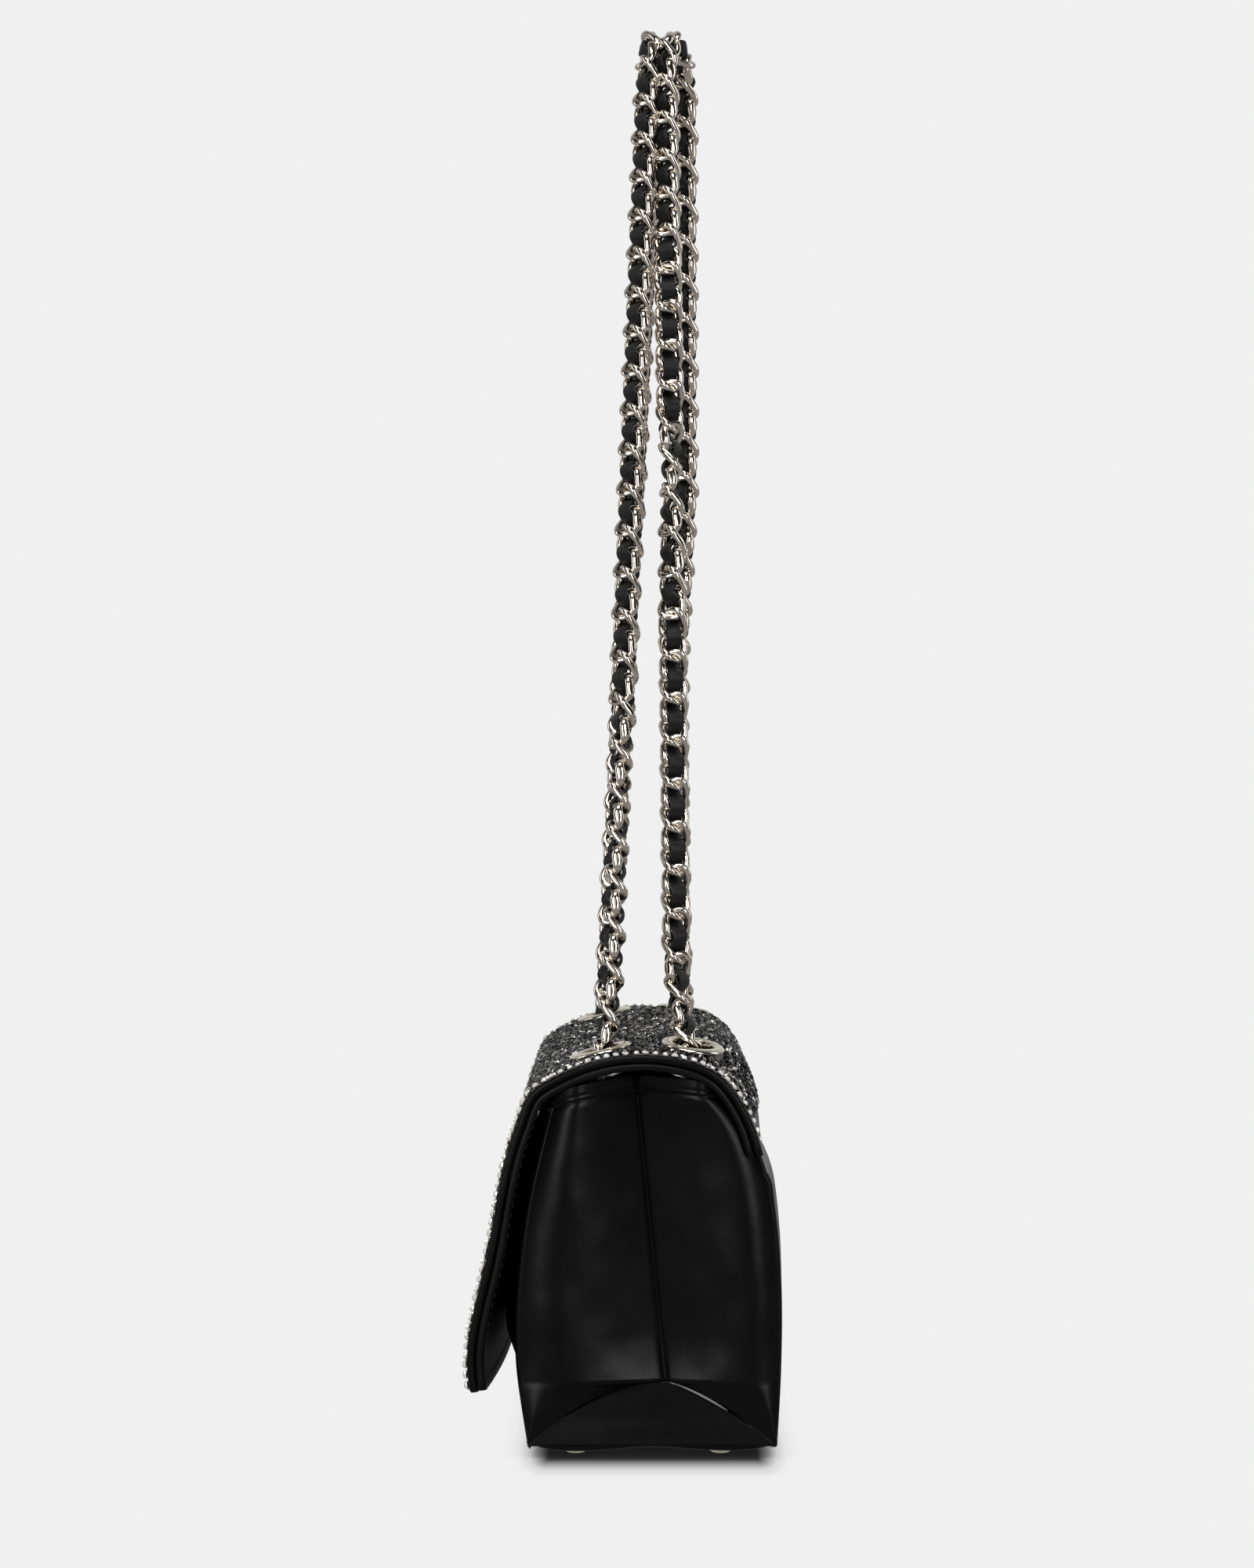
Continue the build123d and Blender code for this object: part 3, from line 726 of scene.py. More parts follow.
def make_gussets():
    """Folded satin ends: two pillowed halves meeting at a seam over a triangular base fold."""
    low = GUSSET_FOOT + (APEX - GUSSET_FOOT) * np.linspace(0, 1, 30)
    rise = np.concatenate([np.linspace(0.012, 0.94, 62), np.linspace(0.945, 1.0, 18)])
    points, faces = [], []

    def add(rows, flip):
        """Adds a sheet's rows of points, and its faces."""
        start = sum(len(p) for p in points)
        points.append(rows.reshape(-1, 3))
        quads = grid_faces(rows.shape[0], rows.shape[1], start)
        faces.extend([q[::-1] for q in quads] if flip else quads)

    add(gusset_sheet(-1, low, rise), False)
    add(gusset_sheet(1, low, rise), True)
    across = np.linspace(0, 1, 60)
    triangle = []
    for z in low:
        start, end = crease(z, -1), crease(z, 1)
        y = start + (end - start) * across
        crown = 2.2 * np.sin(math.pi * across) ** 0.8
        crown = crown * ((APEX - z) / APEX) * smoothstep((z - GUSSET_FOOT) / 9)
        lip = 0.9 * bell((end - y) - 0.9, 0.7) * smoothstep((z - 9) / 6) * (APEX - z > 0.8)
        triangle.append(stacked(PANEL_HALF + GUSSET_OUT - fold_depth(z) + crown + lip, y, z))
    add(np.stack(triangle), False)
    points = np.concatenate(points)
    for hand, sign in HANDS.items():
        turned_faces = faces if sign > 0 else [face[::-1] for face in faces]
        piece = make(f"folded_gusset_{hand}", points * (sign, 1, 1), turned_faces, BLACK_SATIN)
        thicken(merge(piece, 0.02), GUSSET)
        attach(piece, "bag_body")
        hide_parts(f"side_gusset_{hand}")


def make_fold_edges():
    """The pinched, raised edge of each base fold, in a pale satin that paints a highlight on it."""
    count, sides, thick = 40, 10, 0.55
    start, end = 0.02, 0.5
    share = np.linspace(start, end, count)
    z = APEX - (APEX - GUSSET_FOOT) * share
    size = thick * np.sin(math.pi * (share - start) / (end - start)) ** 0.7 + 0.02
    last = (count - 1) * sides
    caps = [list(range(sides))[::-1], list(range(last, last + sides))]
    faces = grid_faces(count, sides, around=True) + caps
    for hand, sign in HANDS.items():
        line = np.stack([sign * (PANEL_HALF + 0.5 - fold_depth(z)), crease(z, 1) - 0.5, z], -1)
        along = unit(np.gradient(line, axis=0))
        out = unit(np.cross(along, np.cross((sign, 0.0, 0.0), along)))
        rows = line[:, None] + size[:, None, None] * hoops(circle(sides), np.cross(along, out), 0.9 * out)
        piece = make(f"fold_edge_{hand}", rows.reshape(-1, 3), faces, PAINTED_HIGHLIGHT_SATIN)
        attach(piece, "bag_body")


def make_pocket():
    """The soft open pocket inside."""
    low, high = (np.array(corner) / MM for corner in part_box("lining"))
    inset, blunt, count, levels = 3.8, 0.18, 160, 26
    heights = np.concatenate([[low[2]] * 2, np.linspace(low[2] + 0.5, high[2], levels)])
    shrink = np.concatenate([[0.02, 0.97], np.ones(levels)])
    across, up = np.cos(circle(count)), np.sin(circle(count))
    wide = high[0] - 0.4
    rows = []
    for z, part in zip(heights, shrink):
        y0, y1 = front_line.y_at(z) + inset, back_line.y_at(z) - inset
        x = wide * np.sign(across) * np.abs(across) ** blunt
        y = (y1 - y0) / 2 * np.sign(up) * np.abs(up) ** blunt
        rows.append(stacked(x * part, (y0 + y1) / 2 + y * part, z))
    points = np.concatenate(rows)
    slack = smoothstep((points[:, 2] - low[2]) / 12) * 0.5
    points[:, :2] *= (1 - slack * 0.01 * (1 + wander(points, 24.0, 2.0, 3)))[:, None]
    piece = make("inner_pocket", points, grid_faces(len(rows), count, around=True), POCKET_CLOTH)
    thicken(piece, 0.8, 1.0)
    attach(piece, "bag_body")
    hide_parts("lining")


# ---- flap ----

# The flap bends between these two places, in metres.
TURN_START, TURN_END = (0, 0.0215, 0.11), (0, 0.0375, 0.11)


def over_fold(piece):
    """Bakes a piece's placement into its mesh."""
    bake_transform(piece)


def make_flap():
    """Outer satin board and its lining, each one sheet from the free edge to the tail."""
    tail_end = flap_line.length
    hole = EYELET_BORE + 0.45
    cover = slab("flap_skin", flap_surface, 0, tail_end, 0, COVER, HALF, BLACK_SATIN)
    pierce(cover, hole)
    over_fold(cover)
    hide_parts("flap_cover", "tail_cover")
    lining = slab("flap_underside", flap_surface, 0.3, tail_end - 0.3, COVER + GAP, FLAP_LINING,
                  HALF - 0.1, UNDERSIDE_SATIN)
    pierce(lining, hole)
    over_fold(lining)
    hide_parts("flap_lining", "tail_lining")


def crown_stone():
    """Points and faces of one flat-backed faceted stone, radius 1 and height 1."""
    angle = np.radians(np.arange(8) * 45)
    shift = math.radians(22.5)

    def ring(radius, z, turn):
        """Eight corners at one height."""
        return np.stack([radius * np.cos(angle + turn), radius * np.sin(angle + turn), np.full(8, z)], -1)

    points = np.concatenate([ring(0.52, 1.0, 0), ring(1.0, 0.34, shift), ring(0.95, 0.0, shift)])
    faces = [list(range(8))]
    for i in range(8):
        k = (i + 1) % 8
        faces.append([i, 8 + i, k])
        faces.append([k, 8 + i, 8 + k])
        faces.append([8 + i, 16 + i, 16 + k, 8 + k])
    faces.append(list(range(23, 15, -1)))
    return points, faces


STONE_POINTS, STONE_FACES = crown_stone()


def set_stones(name, along, x, radius, tone, lift, tilt=18.0, height=0.8, material=CRYSTAL):
    """Stones set on the flap's face at the given places, each a little askew."""
    point, up, normal = surface_frame(flap_surface, along, x)
    count = len(along)
    lean = np.radians(tilt) * rng.normal(size=(count, 2)) * 0.6
    side = unit(np.cross(up, normal))
    axis = unit(normal + lean[:, :1] * side + lean[:, 1:] * up)
    first = unit(np.cross(axis, side))
    second = np.cross(axis, first)
    spin = rng.uniform(0, 2 * math.pi, count)[:, None]
    a = np.cos(spin) * first + np.sin(spin) * second
    b = -np.sin(spin) * first + np.cos(spin) * second
    shape = STONE_POINTS[None]
    flat = shape[..., :1] * a[:, None] + shape[..., 1:2] * b[:, None]
    local = flat + height * shape[..., 2:] * axis[:, None]
    points = (point + normal * lift)[:, None] + radius[:, None, None] * local
    corners = len(STONE_POINTS)
    faces = [[v + corners * i for v in face] for i in range(count) for face in STONE_FACES]
    piece = make(name, points.reshape(-1, 3), faces, material, smooth=False)
    layer = piece.data.attributes.new("tone", "FLOAT", "FACE")
    layer.data.foreach_set("value", np.repeat(tone, len(STONE_FACES)).astype(np.float32))
    return piece


STONE_PITCH, EDGE_PITCH = 2.28, 2.85
STONE_LIFT, EDGE_LIFT = 0.02, 0.3
TAIL_BARE = 10.0       # plain satin at the end of the tail
EDGE_ROW = 2.0         # from the flap's side edge to the middle of its rim stones
LOWER_TOP, FRONT_TOP = 62.0, 110.0  # heights where the field is cut into pieces


def clear_of_eyelets(point):
    """Which points lie outside the eyelets' flanges."""
    keep = np.ones(len(point), bool)
    for origin, *_ in EYELETS.values():
        keep &= np.linalg.norm(point - origin, axis=1) > EYELET_FLANGE + 0.5
    return keep


def parts_of_flap(point):
    """Which points lie on the moving flap, on its fold and on the fixed tail."""
    start, end = TURN_START[1] / MM, TURN_END[1] / MM
    fold = (point[:, 1] > start) & (point[:, 1] < end)
    tail = point[:, 1] >= end
    return {"flap": ~fold & ~tail, "fold": fold, "tail": tail}


def carry_stones(piece, zone):
    """Parents stones to the part of the flap that they are set on; stones on the fold are only baked in
    place.
    """
    if zone == "fold":
        over_fold(piece)
    else:
        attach(piece, "bag_body" if zone == "tail" else "flap")


def make_crystals():
    """The pavé: a jittered hexagonal field over flap and tail, in separate pieces."""
    rows = np.arange(3.2, flap_line.length - TAIL_BARE, STONE_PITCH * 0.866)
    along, x = [], []
    wide = HALF - EDGE_ROW - 2.3
    for i, at in enumerate(rows):
        places = np.arange(-wide + (i % 2) * STONE_PITCH / 2, wide, STONE_PITCH)
        along.append(np.full_like(places, at))
        x.append(places)
    along, x = np.concatenate(along), np.concatenate(x)
    along = along + rng.normal(size=len(along)) * 0.3
    x = np.clip(x + rng.normal(size=len(x)) * 0.3, -wide, wide)
    point = flap_surface(along, x)
    keep = clear_of_eyelets(point)
    along, x, point = along[keep], x[keep], point[keep]
    count = len(x)
    small = rng.random(count) < 0.22
    radius = np.where(small, rng.uniform(0.72, 0.88, count), rng.uniform(0.92, 1.12, count))
    tone = rng.choice([0.0, 0.3, 0.6, 1.0], count, p=[0.42, 0.3, 0.17, 0.11])
    tone = np.clip(tone + rng.normal(size=count) * 0.08, 0, 1)
    parts, z = parts_of_flap(point), point[:, 2]
    zones = {"lower_front": parts["flap"] & (z < LOWER_TOP),
             "upper_front": parts["flap"] & (z >= LOWER_TOP) & (z < FRONT_TOP),
             "top": parts["flap"] & (z >= FRONT_TOP), "fold": parts["fold"], "tail": parts["tail"]}
    for zone, chosen in zones.items():
        piece = set_stones(f"crystals_{zone}", along[chosen], x[chosen], radius[chosen], tone[chosen],
                           STONE_LIFT)
        carry_stones(piece, zone)
        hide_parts("tail_crystals" if zone == "tail" else "flap_crystals")


def make_edge_stones():
    """A row of larger clear stones down each side and along the free edge."""
    row = HALF - EDGE_ROW
    down = np.arange(2.6, flap_line.length - TAIL_BARE / 2, EDGE_PITCH)
    across = np.arange(-HALF + EDGE_ROW + EDGE_PITCH, row - EDGE_PITCH / 2, EDGE_PITCH)
    along = np.concatenate([down, down, np.full_like(across, 1.9)])
    x = np.concatenate([np.full_like(down, row), np.full_like(down, -row), across])
    along = along + rng.normal(size=len(along)) * 0.12
    point = flap_surface(along, x)
    big = (point[:, 2] < SHOULDER) & (point[:, 1] < 0)
    radius = np.where(big, rng.uniform(1.1, 1.35, len(x)), rng.uniform(0.85, 1.1, len(x)))
    tone = np.clip(0.9 + rng.normal(size=len(x)) * 0.12, 0.4, 1)
    for zone, chosen in parts_of_flap(point).items():
        piece = set_stones(f"edge_stones_{zone}", along[chosen], x[chosen], radius[chosen], tone[chosen],
                           EDGE_LIFT, 9.0, 0.85, CLEAR)
        carry_stones(piece, zone)


# ---- chain and ribbon ----

WIRE = (1.2, 1.42)      # half thickness of the wire across and through the link
LINK_HALF_WIDTH = 3.6
FLAT_SIDE = 0.85       # the links' sides are cut flat this far out from their wire's middle
TWIST_RISE = 1.12
TILT = 0.33            # how far each link leans, one way and then the other
RIBBON_WIDTH, RIBBON_THICK, RIBBON_CROWN = 4.7, 0.9, 0.18
WEAVE = 2.5            # how far the ribbon swings through the chain, to either side

# Direction each strand's links face, as (height, degrees from +X towards -Y).
FACING = {
    ("front", 1): [(113, 90), (205, 90), (232, 47), (420, 47)],
    ("front", -1): [(113, 135), (420, 135)],
    ("back", 1): [(113, -70), (136, -66), (150, -30), (160, -22), (240, -18), (262, 45), (280, 60),
                  (297, 92), (318, 160), (355, 175), (378, 222), (420, 225)],
    ("back", -1): [(113, 315), (420, 315)],
}

# How far each strand hangs aside of the straight line between its eyelets, as (height, Y).
DRIFT = {
    ("front", 1): [(113, 0), (124, 1.2), (140, 2.2), (160, 2.2), (272, 1.4), (420, 1.0)],
    ("front", -1): [(113, 0), (200, 1.0), (300, 2.0), (420, 2.8)],
    ("back", 1): [(113, 0), (121, -0.6), (132, -2.6), (142, -3.6), (300, -3.7), (420, -4.2)],
    ("back", -1): [(113, 0), (150, -0.6), (211, -1.4), (250, -0.6), (275, 1.0), (300, 2.4), (420, 2.6)],
}


class Strand:
    """One of the strap's two loops: up from an eyelet at +X, over the top and down to -X."""

    def __init__(self, side):
        self.side = side
        foot, peak = (EYELET_Y[side], ROOT_HEIGHT), (PEAK_Y[side], PEAK_HEIGHT)
        self.foot = np.array([0, *foot])
        self.up = unit(np.array([0, peak[0] - foot[0], peak[1] - foot[1]]))
        self.centre = math.dist(foot, peak) - TURN_RADIUS
        slope = math.asin(TURN_RADIUS / math.hypot(EYELET_X, self.centre))
        self.lean = math.atan2(EYELET_X, self.centre) - slope
        top_x = TURN_RADIUS * math.cos(self.lean)
        self.leg = math.hypot(EYELET_X - top_x, self.centre + TURN_RADIUS * math.sin(self.lean))
        self.half = self.leg + TURN_RADIUS * (math.pi / 2 - self.lean)
        self.place_links()

    def place_links(self):
        """Each link's distance along the strand, and the stage it belongs to."""
        along, self.links, self.bends = PITCH / 2, [], []
        for stage, count in enumerate(STAGES[self.side]):
            for _ in range(count):
                self.links += [(along, stage), (2 * self.half - along, stage)]
                last = along
                along += PITCH
            self.bends.append(last + LINK_REACH)
        span = 2 * (self.half - along)
        steps = 2 * round(span / TOP_PITCH / 2)
        self.links += [(along + i * span / steps, 3) for i in range(steps + 1)]
        self.links.sort()

    def centre_line(self, along):
        """Points on the strand's middle line."""
        along = np.asarray(along, float)
        mirrored = along > self.half
        short = np.where(mirrored, 2 * self.half - along, along)
        turn = self.lean + np.maximum(short - self.leg, 0) / TURN_RADIUS
        straight = short <= self.leg
        x = np.where(straight, EYELET_X - short * math.sin(self.lean), TURN_RADIUS * np.cos(turn))
        high = np.where(straight, short * math.cos(self.lean), self.centre + TURN_RADIUS * np.sin(turn))
        x = np.where(mirrored, -x, x)
        point = self.foot + x[..., None] * np.array([1.0, 0, 0]) + high[..., None] * self.up
        near, far = [np.interp(point[..., 2], *zip(*DRIFT[(self.side, hand)])) for hand in (1, -1)]
        share = smoothstep(0.5 + x / TURN_RADIUS / 2)
        point[..., 1] += near * share + far * (1 - share)
        return point

    def facing(self, along):
        """Turn of the links about the strand, from the loop's outward side."""
        knots, angles = [], []
        for hand in (1, -1):
            for z, angle in FACING[(self.side, hand)][::hand]:
                rise = (z - ROOT_HEIGHT) / (PEAK_HEIGHT - TURN_RADIUS - ROOT_HEIGHT) * self.leg
                knots.append(rise if hand > 0 else 2 * self.half - rise)
                angles.append(angle)
        return np.radians(np.interp(along, knots, angles))

    def frame(self, along):
        """Point, direction, width direction and facing direction along the strand."""
        along = np.asarray(along, float)
        step = 0.5
        point = self.centre_line(along)
        tangent = unit(self.centre_line(along + step) - self.centre_line(along - step))
        outward = unit(np.cross(np.array([0, 1.0, 0]), tangent))
        beside = np.cross(outward, tangent)
        turn = self.facing(along)[..., None]
        face = np.cos(turn) * outward + np.sin(turn) * beside
        return point, tangent, np.cross(tangent, face), face

    def phase(self, along):
        """How many links along, as a running number."""
        places = [a for a, _ in self.links]
        inside = np.interp(along, places, np.arange(len(places)))
        before = (np.minimum(along, places[0]) - places[0]) / PITCH
        after = (np.maximum(along, places[-1]) - places[-1]) / PITCH
        return inside + before + after


def link_shape():
    """Points of one link, long along Y and flat on XY: twisted so that it lies in its neighbours."""
    turns, sides = 44, 12
    phi = circle(turns)
    line = stacked(LINK_HALF_WIDTH * np.sin(phi), LINK_REACH * np.cos(phi), TWIST_RISE * np.sin(2 * phi))
    tangent = unit(np.roll(line, -1, 0) - np.roll(line, 1, 0))
    outward = stacked(np.sin(phi), np.cos(phi), 0.0)
    outward = unit(outward - (outward * tangent).sum(-1, keepdims=True) * tangent)
    rings = hoops(circle(sides), WIRE[0] * outward, WIRE[1] * np.cross(tangent, outward))
    points = line[:, None] + rings
    limit = LINK_HALF_WIDTH + FLAT_SIDE
    points[..., 0] = np.clip(points[..., 0], -limit, limit)
    return points.reshape(-1, 3), closed_faces(turns, sides)[:, [0, 3, 2, 1]]


LINK_POINTS, LINK_FACES = link_shape()


def chain_piece(name, frames, body, node):
    """Links at the given frames: (point, width, along, facing, tilt)."""
    points, faces = [], []
    for i, (origin, width, tangent, face, tilt) in enumerate(frames):
        local = LINK_POINTS.copy()
        local[:, 2] += tilt * local[:, 1]
        points.append(origin + local[:, :1] * width + local[:, 1:2] * tangent + local[:, 2:] * face)
        faces.append(LINK_FACES + i * len(LINK_POINTS))
    piece = make(name, np.concatenate(points), np.concatenate(faces).tolist(), CHAIN)
    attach(piece, body)
    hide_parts(node)
    return piece


def inner_run():
    """Frames of the links under the flap, from the front eyelets to the back ones."""
    radius, drop = 10.0, 1.0
    span = EYELET_Y["back"] - EYELET_Y["front"]
    quarter = radius * math.pi / 2
    total = 2 * (drop + quarter) + span - 2 * radius

    def spot(along):
        """Y, Z and the turn from straight down, at a distance along one run."""
        if along > total / 2:
            y, z, turn = spot(total - along)
            return EYELET_Y["front"] + EYELET_Y["back"] - y, z, math.pi - turn
        y, z, turn = EYELET_Y["front"], ROOT_HEIGHT - along, 0.0
        if along > drop:
            turn = min((along - drop) / radius, math.pi / 2)
            y += radius * (1 - math.cos(turn)) + max(along - drop - quarter, 0)
            z = ROOT_HEIGHT - drop - radius * math.sin(turn)
        return y, z, turn

    frames = []
    for x in (EYELET_X, -EYELET_X):
        for i in range(INNER_LINKS):
            y, z, turn = spot((i + 0.5) * total / INNER_LINKS)
            tangent = np.array([0, math.sin(turn), -math.cos(turn)])
            face = np.array([0, math.cos(turn), math.sin(turn)])
            frames.append((np.array([x, y, z]), np.cross(tangent, face), tangent, face, 0.0))
    return frames


def make_chain(strands):
    """All links, in one piece for each moving length of the strap."""
    leads = inner_run()
    for side, strand in strands.items():
        stages = [leads, [], [], []]
        for i, (along, stage) in enumerate(strand.links):
            point, tangent, width, face = strand.frame(along)
            stages[stage].append((point, width, tangent, face, TILT * (-1) ** i))
        for name, links in zip(("lower", "middle", "upper"), stages[1:]):
            chain_piece(f"{side}_{name}_chain", links, f"{side}_strap_{name}", f"{side}_{name}_links")
    chain_piece("inner_chain", leads, "flap", "strap_inner_links")


def ribbon_points(strand, start, end):
    """Rows of points of a length of ribbon, weaving from face to face of the chain."""
    along = np.linspace(start, end, max(int(abs(end - start) / 0.75), 8))
    point, tangent, width, face = strand.frame(along)
    wave = strand.phase(along)
    shift = -WEAVE * np.sin(math.pi * wave)
    half = RIBBON_WIDTH / 2 * (0.9 + 0.1 * np.abs(np.sin(math.pi * wave)))
    rise = np.gradient(shift, along)
    normal = unit(face - rise[:, None] * tangent)
    across = np.linspace(-1, 1, 13)
    upper = RIBBON_THICK / 2 + RIBBON_CROWN * (1 - across**2)
    place = half[:, None] * np.concatenate([across, across[::-1] * 0.985])
    height = np.concatenate([upper, np.full_like(across, -RIBBON_THICK / 2)])
    middle = point + shift[:, None] * face
    rows = middle[:, None] + place[..., None] * width[:, None] + height[None, :, None] * normal[:, None]
    return rows, place


def ribbon_piece(name, lengths):
    """One ribbon piece from a few lengths, with the width coordinate its ribs need."""
    points, faces, across = [], [], []
    for rows, place in lengths:
        start = sum(len(p) for p in points)
        count, loop = rows.shape[:2]
        points.append(rows.reshape(-1, 3))
        across.append(place.reshape(-1))
        faces += grid_faces(count, loop, start, around=True)
        faces.append([start + k for k in range(loop)][::-1])
        faces.append([start + (count - 1) * loop + k for k in range(loop)])
    piece = make(name, np.concatenate(points), faces, RIBBON)
    layer = piece.data.attributes.new("across", "FLOAT", "POINT")
    layer.data.foreach_set("value", np.concatenate(across).astype(np.float32))
    return piece


def make_ribbons(strands):
    """Ribbon through each strand, cut in the stiff middle of every moving length."""
    for side, strand in strands.items():
        first, second, third = strand.bends
        low, high, whole = (first + second) / 2, (second + third) / 2, 2 * strand.half
        spans = {"root": [(1.0, low), (whole - low, whole - 1.0)],
                 "middle": [(low, high), (whole - high, whole - low)],
                 "top": [(high, whole - high)]}
        nodes = [["strap_lead_ribbon", f"{side}_lower_ribbon"], [f"{side}_middle_ribbon"],
                 [f"{side}_upper_ribbon"]]
        for i, (name, ends) in enumerate(spans.items()):
            lengths = [ribbon_points(strand, *span) for span in ends]
            piece = ribbon_piece(f"{side}_{name}_woven_ribbon", lengths)
            bend = strand.centre_line(strand.bends[i])
            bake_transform(piece)
            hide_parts(*nodes[i])


# ---- stitching ----

def stitches(name, path, normals, body, length=2.1, gap=0.9, thick=0.16):
    """Short raised threads along a path, in and out of the cloth."""
    run = run_length(path)
    count, sides = 7, 6
    share = np.linspace(0, 1, count)
    lift = (thick * 1.1) * np.sin(math.pi * share) - 0.06
    size = thick * np.sqrt(np.clip(np.sin(math.pi * share), 0.04, 1))
    points, faces = [], []
    at = 0.5
    while at + length < run[-1]:
        places = at + share * length
        line = np.stack([np.interp(places, run, path[:, k]) for k in range(3)], -1)
        normal = unit(np.stack([np.interp(places, run, normals[:, k]) for k in range(3)], -1))
        along = unit(np.gradient(line, axis=0))
        centre = line + normal * lift[:, None]
        rings = hoops(circle(sides), np.cross(along, normal), normal)
        rows = centre[:, None] + size[:, None, None] * rings
        first = len(points) * count * sides
        last = first + (count - 1) * sides
        points.append(rows.reshape(-1, 3))
        faces += grid_faces(count, sides, first, around=True)
        faces += [list(range(first, first + sides))[::-1], list(range(last, last + sides))]
        at += length + gap
    piece = make(name, np.concatenate(points), faces, THREAD)
    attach(piece, body)
    return piece


SEAM_IN = 3.2          # from the flap's side edges to their stitching


def make_stitching():
    """Thread round the flap's underside."""
    down = np.linspace(3.0, FOLD_AT - 10.0, 160)
    across = np.linspace(SEAM_IN - HALF, HALF - SEAM_IN, 160)
    seams = {hand: (down, np.full_like(down, sign * (HALF - SEAM_IN))) for hand, sign in HANDS.items()}
    seams["free_edge"] = (np.full_like(across, 3.0), across)
    for name, (along, x) in seams.items():
        path = flap_surface(along, x, FLAP_DEPTH)
        _, _, normal = surface_frame(flap_surface, along, x)
        stitches(f"flap_stitching_{name}", path, -normal, "flap")


# ---- carried-over CAD nodes ----

def dress_cad():
    """Better finishes on the small CAD pieces that are shown as they are."""
    finishes = {"base_board": BOARD}
    for node in ("foot_washers", "snap_socket", "snap_socket_washer", "snap_stud", "snap_stud_washer"):
        finishes[node] = STEEL
    for side in SIDES:
        for hand in HANDS:
            finishes[f"eyelet_washer_{side}_{hand}"] = STEEL
    for node, material in finishes.items():
        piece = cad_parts[node]
        piece.data.materials.clear()
        piece.data.materials.append(material)


# ---- studio ----

BACKDROP = 0.871
FLOOR_HALF = 9000.0

# Painted contact shadow on the floor: its tones from under the bag (0) to the shadow's edge (1).
PAINTED_SHADOW_TONES = [(0.0, 0.05), (0.06, 0.11), (0.26, 0.39), (0.46, 0.68), (0.77, 0.85), (1.0, BACKDROP)]
# The painted shadow's dark patch by axis: its middle, half its size, and the width of the painted shadow
# round it.
PAINTED_SHADOW_REACH = (("X", 0.0, 98.0, 30.0), ("Y", 9.3, 31.0, 11.0))


def make_floor():
    """A pale floor with a painted shadow where the bag nearly touches it."""
    corners = [(x * FLOOR_HALF, y * FLOOR_HALF, 0) for x, y in ((-1, -1), (1, -1), (1, 1), (-1, 1))]
    floor = make("floor", corners, [[0, 1, 2, 3]], floor_paint())


def floor_paint():
    """Camera rays see the backdrop's tone with a painted contact shadow and painted occlusion shade; other
    rays see a dim floor.
    """
    paint = Paint("floor_white")
    place = paint.nodes.new("ShaderNodeNewGeometry")
    split = paint.add("ShaderNodeSeparateXYZ", Vector=place.outputs["Position"])
    reach = []
    for axis, middle, half, width in PAINTED_SHADOW_REACH:
        offset = paint.math("ABSOLUTE", paint.math("SUBTRACT", split.outputs[axis], middle * MM))
        beyond = paint.math("MAXIMUM", paint.math("SUBTRACT", offset, half * MM), 0.0)
        reach.append(paint.math("POWER", paint.math("DIVIDE", beyond, width * MM), 2.0))
    contact = paint.math("SQRT", paint.math("ADD", *reach))
    # Ambient occlusion near the bag is painted into the floor's glow as shade.
    near = paint.add("ShaderNodeAmbientOcclusion", Distance=12 * MM)
    near.samples = 16
    tones = paint.ramp(contact, [(at, grey(value)) for at, value in PAINTED_SHADOW_TONES])
    shade = paint.ramp(near.outputs["AO"], [(0.0, grey(0.2)), (0.6, grey(0.9)), (0.9, grey(1.0))])
    mixed = paint.add("ShaderNodeVectorMath")
    mixed.operation = "MULTIPLY"
    paint.feed(mixed.inputs[0], tones)
    paint.feed(mixed.inputs[1], shade)
    glow = paint.add("ShaderNodeEmission", Color=mixed)
    dim = paint.add("ShaderNodeEmission", Color=(0.3, 0.3, 0.3, 1))
    seen = paint.nodes.new("ShaderNodeLightPath")
    mix = paint.nodes.new("ShaderNodeMixShader")
    for socket, value in zip(mix.inputs, (seen.outputs["Is Camera Ray"], dim, glow)):
        paint.feed(socket, value)
    paint.feed(paint.nodes["Material Output"].inputs["Surface"], mix)
    return paint.material


# Brightness of what the bag reflects, from behind it (0) to in front of it (1).
SKY_TONES = [(0.0, 0.65), (0.25, 0.38), (0.47, 0.08), (0.62, 0.025), (1.0, 0.01)]


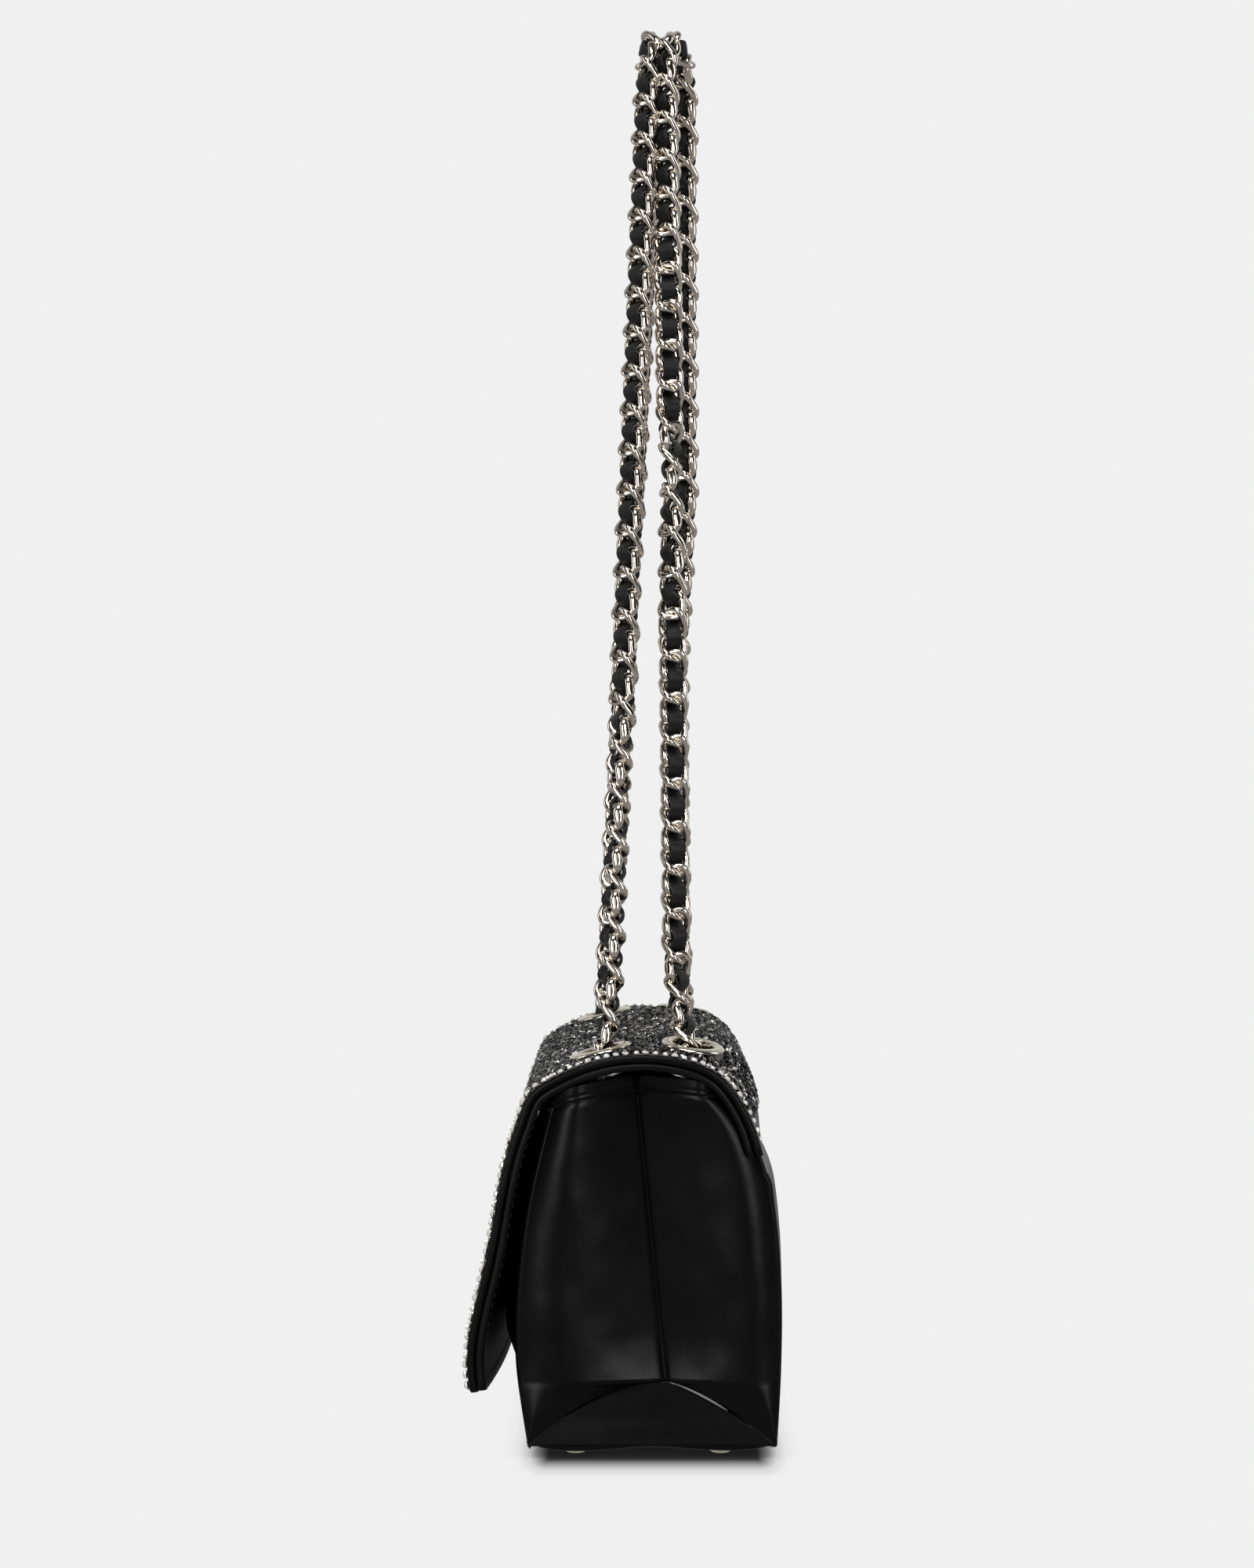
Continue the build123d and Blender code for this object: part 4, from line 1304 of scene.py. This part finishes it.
def make_world():
    """Even pale backdrop for the camera; for reflections, bright behind the bag and dim in front."""
    world = bpy.data.worlds.new("studio")
    bpy.context.scene.world = world
    world.use_nodes = True
    nodes, links = world.node_tree.nodes, world.node_tree.links
    nodes.clear()
    position = nodes.new("ShaderNodeTexCoord")
    split = nodes.new("ShaderNodeSeparateXYZ")
    ramp = nodes.new("ShaderNodeValToRGB")
    half = nodes.new("ShaderNodeMath")
    half.operation = "MULTIPLY_ADD"
    half.inputs[1].default_value, half.inputs[2].default_value = 0.5, 0.5
    set_stops(ramp, [(at, grey(value)) for at, value in SKY_TONES])
    seen = nodes.new("ShaderNodeLightPath")
    mix = nodes.new("ShaderNodeMixShader")
    plain, around = nodes.new("ShaderNodeBackground"), nodes.new("ShaderNodeBackground")
    plain.inputs["Color"].default_value = (BACKDROP, BACKDROP, BACKDROP, 1)
    output = nodes.new("ShaderNodeOutputWorld")
    links.new(position.outputs["Generated"], split.inputs[0])
    links.new(split.outputs["X"], half.inputs[0])
    links.new(half.outputs[0], ramp.inputs["Fac"])
    links.new(ramp.outputs["Color"], around.inputs["Color"])
    links.new(seen.outputs["Is Camera Ray"], mix.inputs["Fac"])
    links.new(around.outputs[0], mix.inputs[1])
    links.new(plain.outputs[0], mix.inputs[2])
    links.new(mix.outputs[0], output.inputs["Surface"])


def add_light(name, place, target, size, power):
    """A softbox at `place` turned to `target`, both in metres."""
    light = bpy.data.lights.new(name, "AREA")
    light.shape, light.size, light.size_y, light.energy = "RECTANGLE", size[0], size[1], power
    lamp = bpy.data.objects.new(name, light)
    aim = bpy.data.objects.new(name + "_aim", None)
    aim.location = target
    lamp.location = place
    for item in (lamp, aim):
        bpy.context.scene.collection.objects.link(item)
    hold = lamp.constraints.new("TRACK_TO")
    hold.target, hold.track_axis, hold.up_axis = aim, "TRACK_NEGATIVE_Z", "UP_Y"
    lamp.visible_camera = False
    return lamp


def make_studio():
    """The floor, the backdrop and the lamps."""
    make_floor()
    make_world()
    low, high = cad_box
    middle = ((low[0] + high[0]) / 2, (low[1] + high[1]) / 2, 0.1)
    add_light("left_softbox", (1.45, -0.72, 0.5), middle, (0.35, 1.1), 9.0)
    add_light("right_softbox", (1.4, 0.72, 0.5), middle, (0.35, 1.1), 8.5)
    add_light("left_strip", (0.0, -1.3, 0.5), middle, (0.3, 1.3), 2.8)
    add_light("right_strip", (-0.1, 1.3, 0.5), middle, (0.3, 1.3), 2.8)
    add_light("top_softbox", (0.7, -0.1, 1.45), middle, (0.9, 0.6), 8.0)
    add_light("front_softbox", (1.9, -0.3, 0.65), middle, (0.6, 0.8), 1.3)
    bpy.context.scene.view_settings.view_transform = "Standard"


def make_camera():
    """Looks level at the bag's +X end from a little above the flap."""
    camera = bpy.data.objects.new("camera", bpy.data.cameras.new("camera"))
    camera.data.lens = 69
    camera.data.shift_y = 0.005
    camera.location = (0.985, 0.0016, 0.197)
    camera.rotation_euler = (math.pi / 2, 0, math.pi / 2)
    bpy.context.scene.collection.objects.link(camera)
    bpy.context.scene.camera = camera


make_camera()
make_studio()
make_panels()
make_gussets()
make_fold_edges()
make_pocket()
make_flap()
make_crystals()
make_edge_stones()
make_eyelets()
make_feet()
strands = {side: Strand(side) for side in SIDES}
make_chain(strands)
make_ribbons(strands)
make_stitching()
dress_cad()
